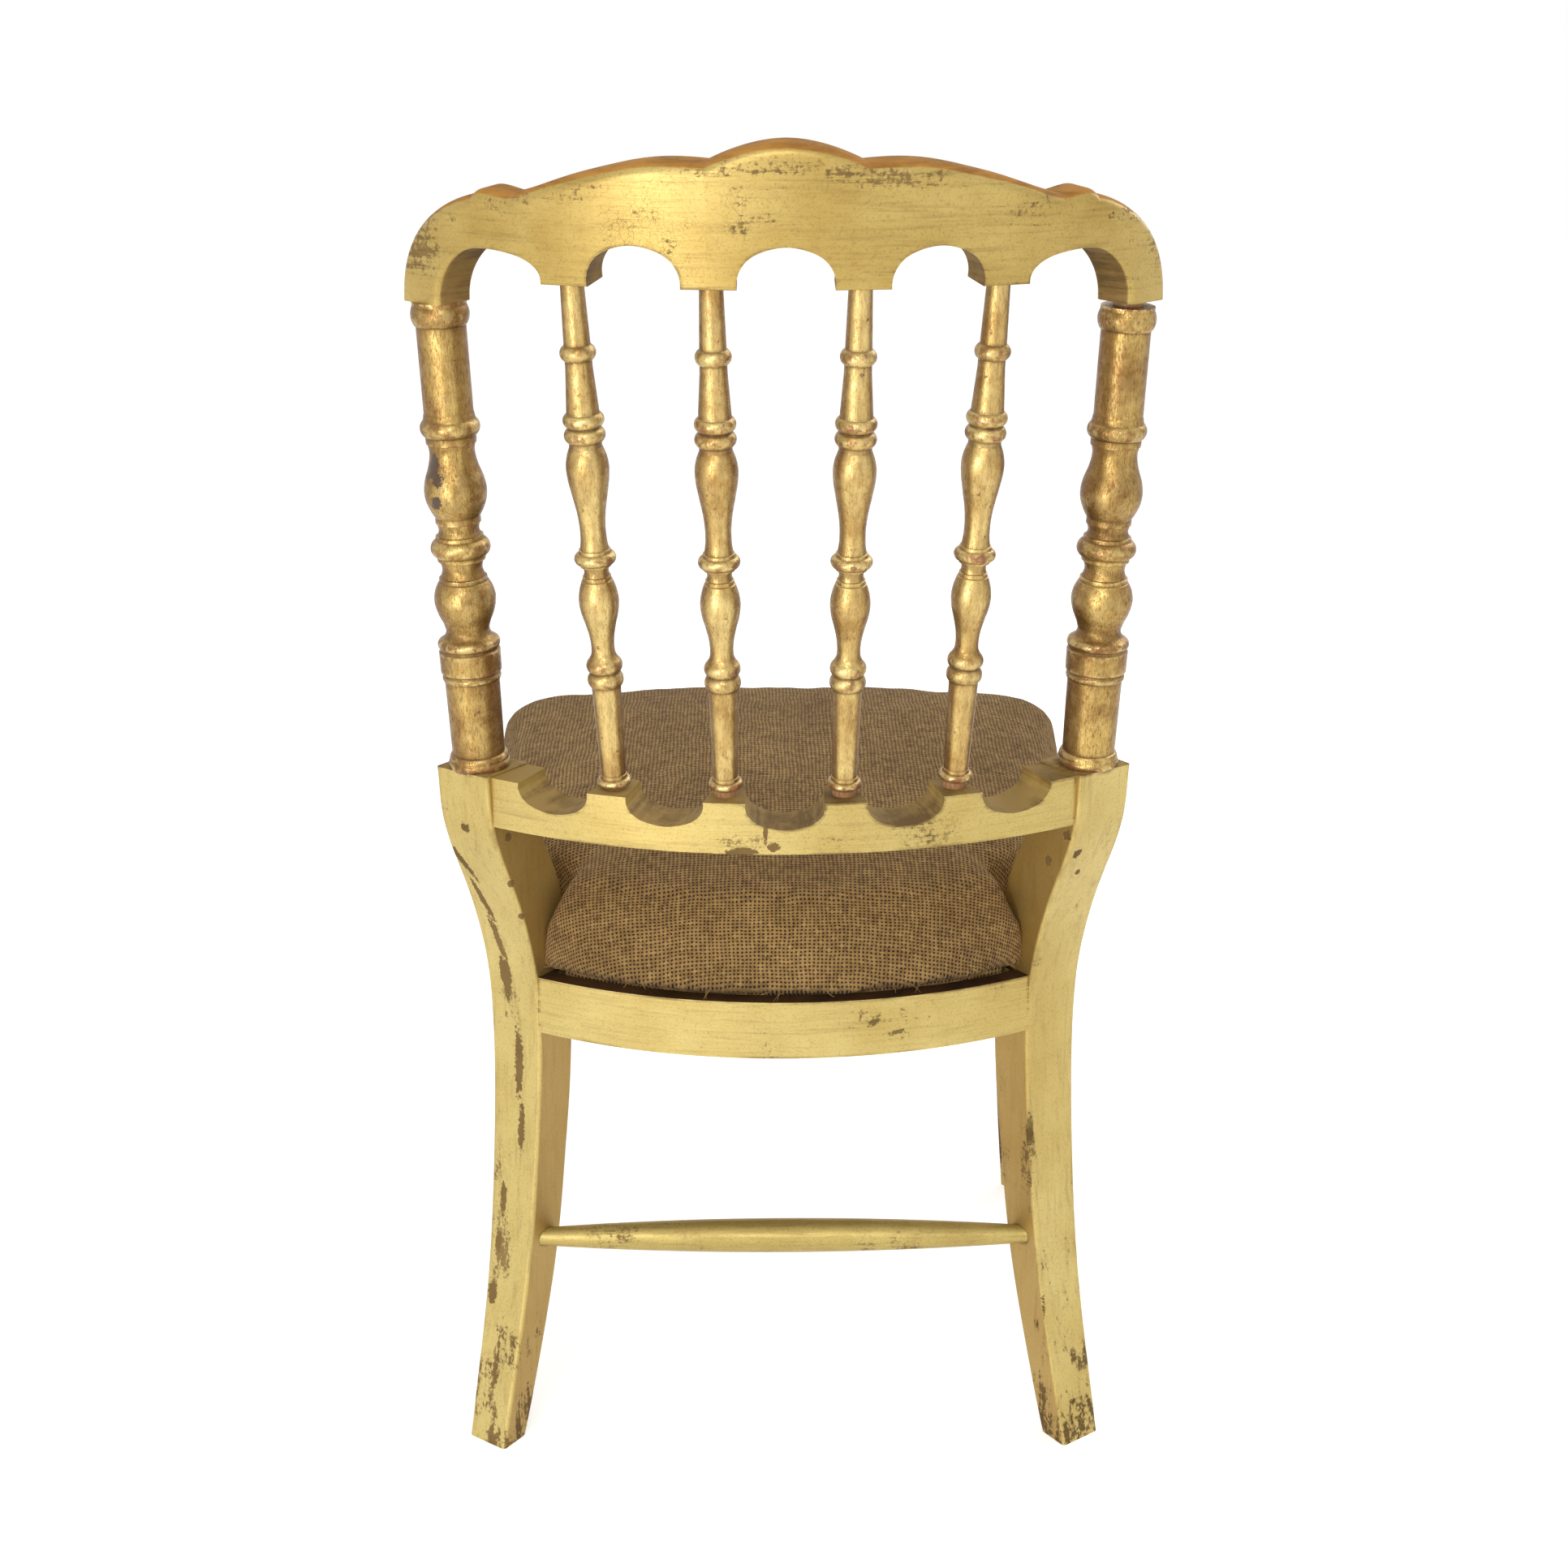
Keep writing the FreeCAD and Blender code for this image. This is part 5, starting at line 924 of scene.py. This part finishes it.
edge = seat_outline(SEAT_INSET, 0.0158, 0.005)
heart = np.array([0.0, BACK_CENTRE_Y + 0.07])
shares = np.linspace(0.02, 1.0, 34)[:, None, None]
plan = heart + (edge[None] - heart) * shares
sag = 0.00035 * np.cos(plan[..., 0] / 0.016) * np.cos(plan[..., 1] / 0.019)
height = seat_plane(plan[..., 1]) + 0.0011 + sag * (1 - shares[..., 0] ** 6)
skin = np.concatenate([plan, height[..., None]], -1)
grid = np.concatenate([skin - (0, 0, 0.0003), skin[::-1] + (0, 0, 0.0003)])
mesh = capped_rings("stretched_base_cloth", grid)
store(mesh, "lay", grid.reshape(-1, 3) * (1, 1, 0))
mesh.materials.append(hessian("plain_base_cloth", 0.0016, "#A68C66", "#8A6E4A", "#5A432C"))
base_cloth = linked("stretched_base_cloth", mesh)
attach(base_cloth, "drop_in_seat")
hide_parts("base_cloth")


# Cover's skirt: the hessian cover comes down over the loose frame's edge, turns under it and is
# tacked there. The hem is cut raw, so its line wavers.
WEAVE_PITCH = 0.0027  # the real threads are 2.2 mm apart, drawn a little coarser so that they show
CLOTH_THICK = 0.0007
HEM_INSET, HEM_DROP = 0.0255, 0.0166
turns = np.array([(0.0, 0.0014), (0.0, -0.0076), (0.0, -0.0151), (0.0006, -0.0162), (0.0018, -HEM_DROP),
                  (0.009, -HEM_DROP), (0.017, -HEM_DROP), (HEM_INSET, -HEM_DROP)])
outer, inner = [], []
for inset, drop in turns:
    under = inset > 0.001
    for rows, inward in ((outer, 0.0), (inner, CLOTH_THICK)):
        further = 0.0 if under else inward
        line = seat_outline(0.0151 + inset + further, 0.0071 + inset + further, 0.005)
        steps = np.arange(len(line))
        waver = 0.0009 * np.sin(steps * 0.61) * np.sin(steps * 0.173)
        spread = line - heart
        spread /= np.linalg.norm(spread, axis=1, keepdims=True)
        line = line + spread * (waver * inset / HEM_INSET)[:, None]
        level = seat_plane(line[:, 1]) + drop + (inward if under else 0.0)
        rows.append(np.column_stack([line, level]))
outer, inner = np.array(outer), np.array(inner)
mesh = closed_sheet("turned_under_skirt", inner, outer, ring=True)
store(mesh, "lay", cloth_lay(way_along(outer[0])[None, None, :], way_along(turns)[None, :, None],
                             outer.shape))
mesh.materials.append(hessian("jute_hessian_on_skirt", WEAVE_PITCH))
skirt = linked("turned_under_skirt", mesh)
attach(skirt, "drop_in_seat")
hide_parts("cover_skirt")


# Tacks: blued steel, driven up through the hem into the frame about every 42 mm.
finish_solid("cover_tacks", old_iron("blued_steel_of_tacks", "#4A4A4E", "#3C3028"))


# Seat cushion: loose stuffing under the same hessian, pulled down all round to the frame. Its
# level lines follow the seat's outline, and cloth pressure swells it between the tucked corners.
# Rows: height over the rails' top, inset from their outer line, gap to the leg, corner.
CUSHION_ROWS = np.array([
    (-0.0035, 0.0124, 0.0010, 0.001), (0.0008, 0.0052, -0.0020, 0.001), (0.0060, 0.0026, -0.0022, 0.001),
    (0.0150, 0.0024, -0.0020, 0.001), (0.0250, 0.0028, -0.0008, 0.004), (0.0350, 0.0032, 0.0018, 0.011),
    (0.0440, 0.0044, 0.0040, 0.018), (0.0520, 0.0074, 0.0050, 0.022), (0.0580, 0.0128, 0.0060, 0.026),
    (0.0615, 0.0200, 0.0070, 0.029)])
CUSHION_CROWN = 0.0795
MOST_SWELL = 0.0035


def stuffed_grid(rows, heart, crown, rings):
    """Closed grid: level lines up the side, then the last one drawn in by shares s while it rises by
    (crown - side) (1 - s squared), and the first one drawn in flat below."""
    flats = [seat_outline(*row[1:]) for row in rows]

    def drawn_in(flat, share, side, rise):
        flat = heart + (flat - heart) * share
        return np.column_stack([flat, seat_plane(flat[:, 1]) + side + rise])

    sides = [np.column_stack([flat, seat_plane(flat[:, 1]) + row[0]]) for flat, row in zip(flats, rows)]
    below = [drawn_in(flats[0], share, rows[0, 0], 0.0012) for share in np.linspace(0.03, 1, rings)[:-1]]
    above = [drawn_in(flats[-1], share, rows[-1, 0], (crown - rows[-1, 0]) * (1 - share ** 2))
             for share in np.linspace(1, 0.03, rings)[1:]]
    return np.array(below + sides + above)


fine_rows = np.stack([np.interp(np.linspace(0, 9, 19), np.arange(10), column)
                      for column in CUSHION_ROWS.T], 1)
mesh = capped_rings("stuffed_cushion", stuffed_grid(fine_rows, heart, CUSHION_CROWN, 30))
cushion = linked("stuffed_cushion", mesh)
only_picked([cushion])
remesh = cushion.modifiers.new("even_skin", "REMESH")
remesh.mode = "VOXEL"
remesh.voxel_size = 0.005
bpy.ops.object.modifier_apply(modifier="even_skin")


def vertex_places(mesh, field="co"):
    """All vertex places or normals as one array."""
    values = np.empty(len(mesh.vertices) * 3)
    mesh.vertices.foreach_get(field, values)
    return values.reshape(-1, 3)


start = vertex_places(cushion.data)
swell = cushion.modifiers.new("stuffing", "CLOTH")
swell.settings.use_pressure = True
swell.settings.uniform_pressure_force = 4.0
swell.settings.effector_weights.gravity = 0.0
swell.settings.quality = 5
scene = bpy.context.scene
swell.point_cache.frame_start, swell.point_cache.frame_end = 1, 20
for step in range(1, 21):
    scene.frame_set(step)
bpy.ops.object.modifier_apply(modifier="stuffing")
scene.frame_set(1)
mesh = cushion.data
move = vertex_places(mesh) - start
far = np.linalg.norm(move, axis=1, keepdims=True)
places = start + move * np.minimum(1.0, MOST_SWELL / np.maximum(far, 1e-9))

# Lumps of the stuffing, and a hollow fold where the cover is tucked in at the right rear corner
x, y, z = places.T
above = z - seat_plane(y)
side_share = np.clip(1 - above / 0.058, 0, 1)
lump = (np.sin(x * 61 + 0.7) * np.sin(y * 53 + 1.9)
        + 0.6 * np.sin(x * 118 + 2.0 * z * 90) * np.sin(y * 97))
normals = vertex_places(mesh, "normal")
FOLD_X, FOLD_ABOVE, FOLD_BEHIND = -0.128, 0.010, 0.09
from_fold = x - FOLD_X
fold = (np.exp(-(from_fold / 0.02) ** 2 - ((above - FOLD_ABOVE - from_fold * 0.3) / 0.004) ** 2)
        * (y > FOLD_BEHIND))
waver = np.exp(-(above / 0.008) ** 2) * np.sin(x * 140 + y * 90)
places = places + normals * (lump * 0.0007 * (0.4 + side_share) - fold * 0.004 + waver * 0.0008)[:, None]
mesh.vertices.foreach_set("co", places.ravel())
mesh.update()
mesh.shade_smooth()
finer = cushion.modifiers.new("finer", "SUBSURF")
finer.levels = finer.render_levels = 1
bpy.ops.object.modifier_apply(modifier="finer")

# The cloth's own lay: its threads run straight over the top and keep their spacing down the sides
mesh = cushion.data
places = vertex_places(mesh)
drop = np.clip(seat_plane(places[:, 1]) + 0.06 - places[:, 2], 0, None)
LAY_MIDDLE = np.array([0.0, -0.044])
LAY_HALF = np.array([0.218, 0.206])
way = places[:, :2] - LAY_MIDDLE
way = np.sign(way) * np.abs(way / LAY_HALF) ** 7
way /= np.maximum(np.linalg.norm(way, axis=1, keepdims=True), 1e-9)
lay = np.zeros_like(places)
lay[:, :2] = places[:, :2] + way * drop[:, None]
store(mesh, "lay", lay)
mesh.materials.clear()
mesh.materials.append(hessian("jute_hessian_on_cushion", WEAVE_PITCH))
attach(cushion, "drop_in_seat")
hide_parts("seat_cushion")


# Frayed threads: short ends of jute that work loose along the cover's lower edge, a third of a
# millimetre thick. Each is a three-sided tube of four lengths, closed at both ends.
THREADS, JOINTS = 170, 5
fray = np.random.default_rng(11)
line = seat_outline(0.0072, 0.0016, 0.002)
closed = np.vstack([line, line[:1]])
way_round = way_along(closed)
at = fray.uniform(0, way_round[-1], THREADS)
root = np.stack([np.interp(at, way_round, closed[:, 0]), np.interp(at, way_round, closed[:, 1])], 1)
outward = (root - heart) / np.linalg.norm(root - heart, axis=1, keepdims=True)
lean = fray.uniform(-1.4, 1.4, THREADS)[:, None]
course = outward * 0.6 + np.stack([-outward[:, 1], outward[:, 0]], 1) * lean
course /= np.linalg.norm(course, axis=1, keepdims=True)
long = fray.uniform(0.003, 0.009, THREADS)[:, None]
dip, curl = (fray.uniform(low, high, THREADS)[:, None] for low, high in ((-0.7, 0.2), (-0.6, 0.6)))
start_up = (seat_plane(root[:, 1]) + fray.uniform(0.0025, 0.0065, THREADS))[:, None]
t = np.linspace(0, 1, JOINTS)
spine = np.concatenate([root[:, None] + course[:, None] * (long * t)[..., None],
                        (start_up + long * (dip * t + curl * t ** 2))[..., None]], -1)
across = np.stack([course[:, 1], -course[:, 0], np.zeros(THREADS)], 1)
turn = np.arange(3) * 2 * np.pi / 3
section = (np.cos(turn)[None, :, None] * np.array([0, 0, 1.0])
           + np.sin(turn)[None, :, None] * across[:, None]) * 0.00017
points = spine[:, :, None] + section[:, None]
index = np.arange(THREADS * JOINTS * 3).reshape(THREADS, JOINTS, 3)
after = np.roll(index, -1, axis=2)
quads = np.stack([index[:, :-1], after[:, :-1], after[:, 1:], index[:, 1:]], -1).reshape(-1, 4)
mesh = built("frayed_threads", points, quads, np.vstack([index[:, 0, ::-1], index[:, -1]]))
jute_fibre, tree = fresh("loose_jute_fibre")
place = add(tree, "TexCoord").outputs["Object"]
spun = add(tree, "TexNoise", {"Vector": place, "Scale": 180.0, "Detail": 3.0})
fibre = coat(tree, linear("#7A5A34"), "#B8935F", spun, 0.35, 0.65)
bump = add(tree, "Bump", {"Height": spun, "Strength": 0.4, "Distance": 0.0001})
mesh.materials.append(surface(jute_fibre, {"Base Color": fibre, "Roughness": 0.9,
                                           "Specular IOR Level": 0.2, "Normal": bump}))
frayed = linked("frayed_threads", mesh)
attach(frayed, "drop_in_seat")
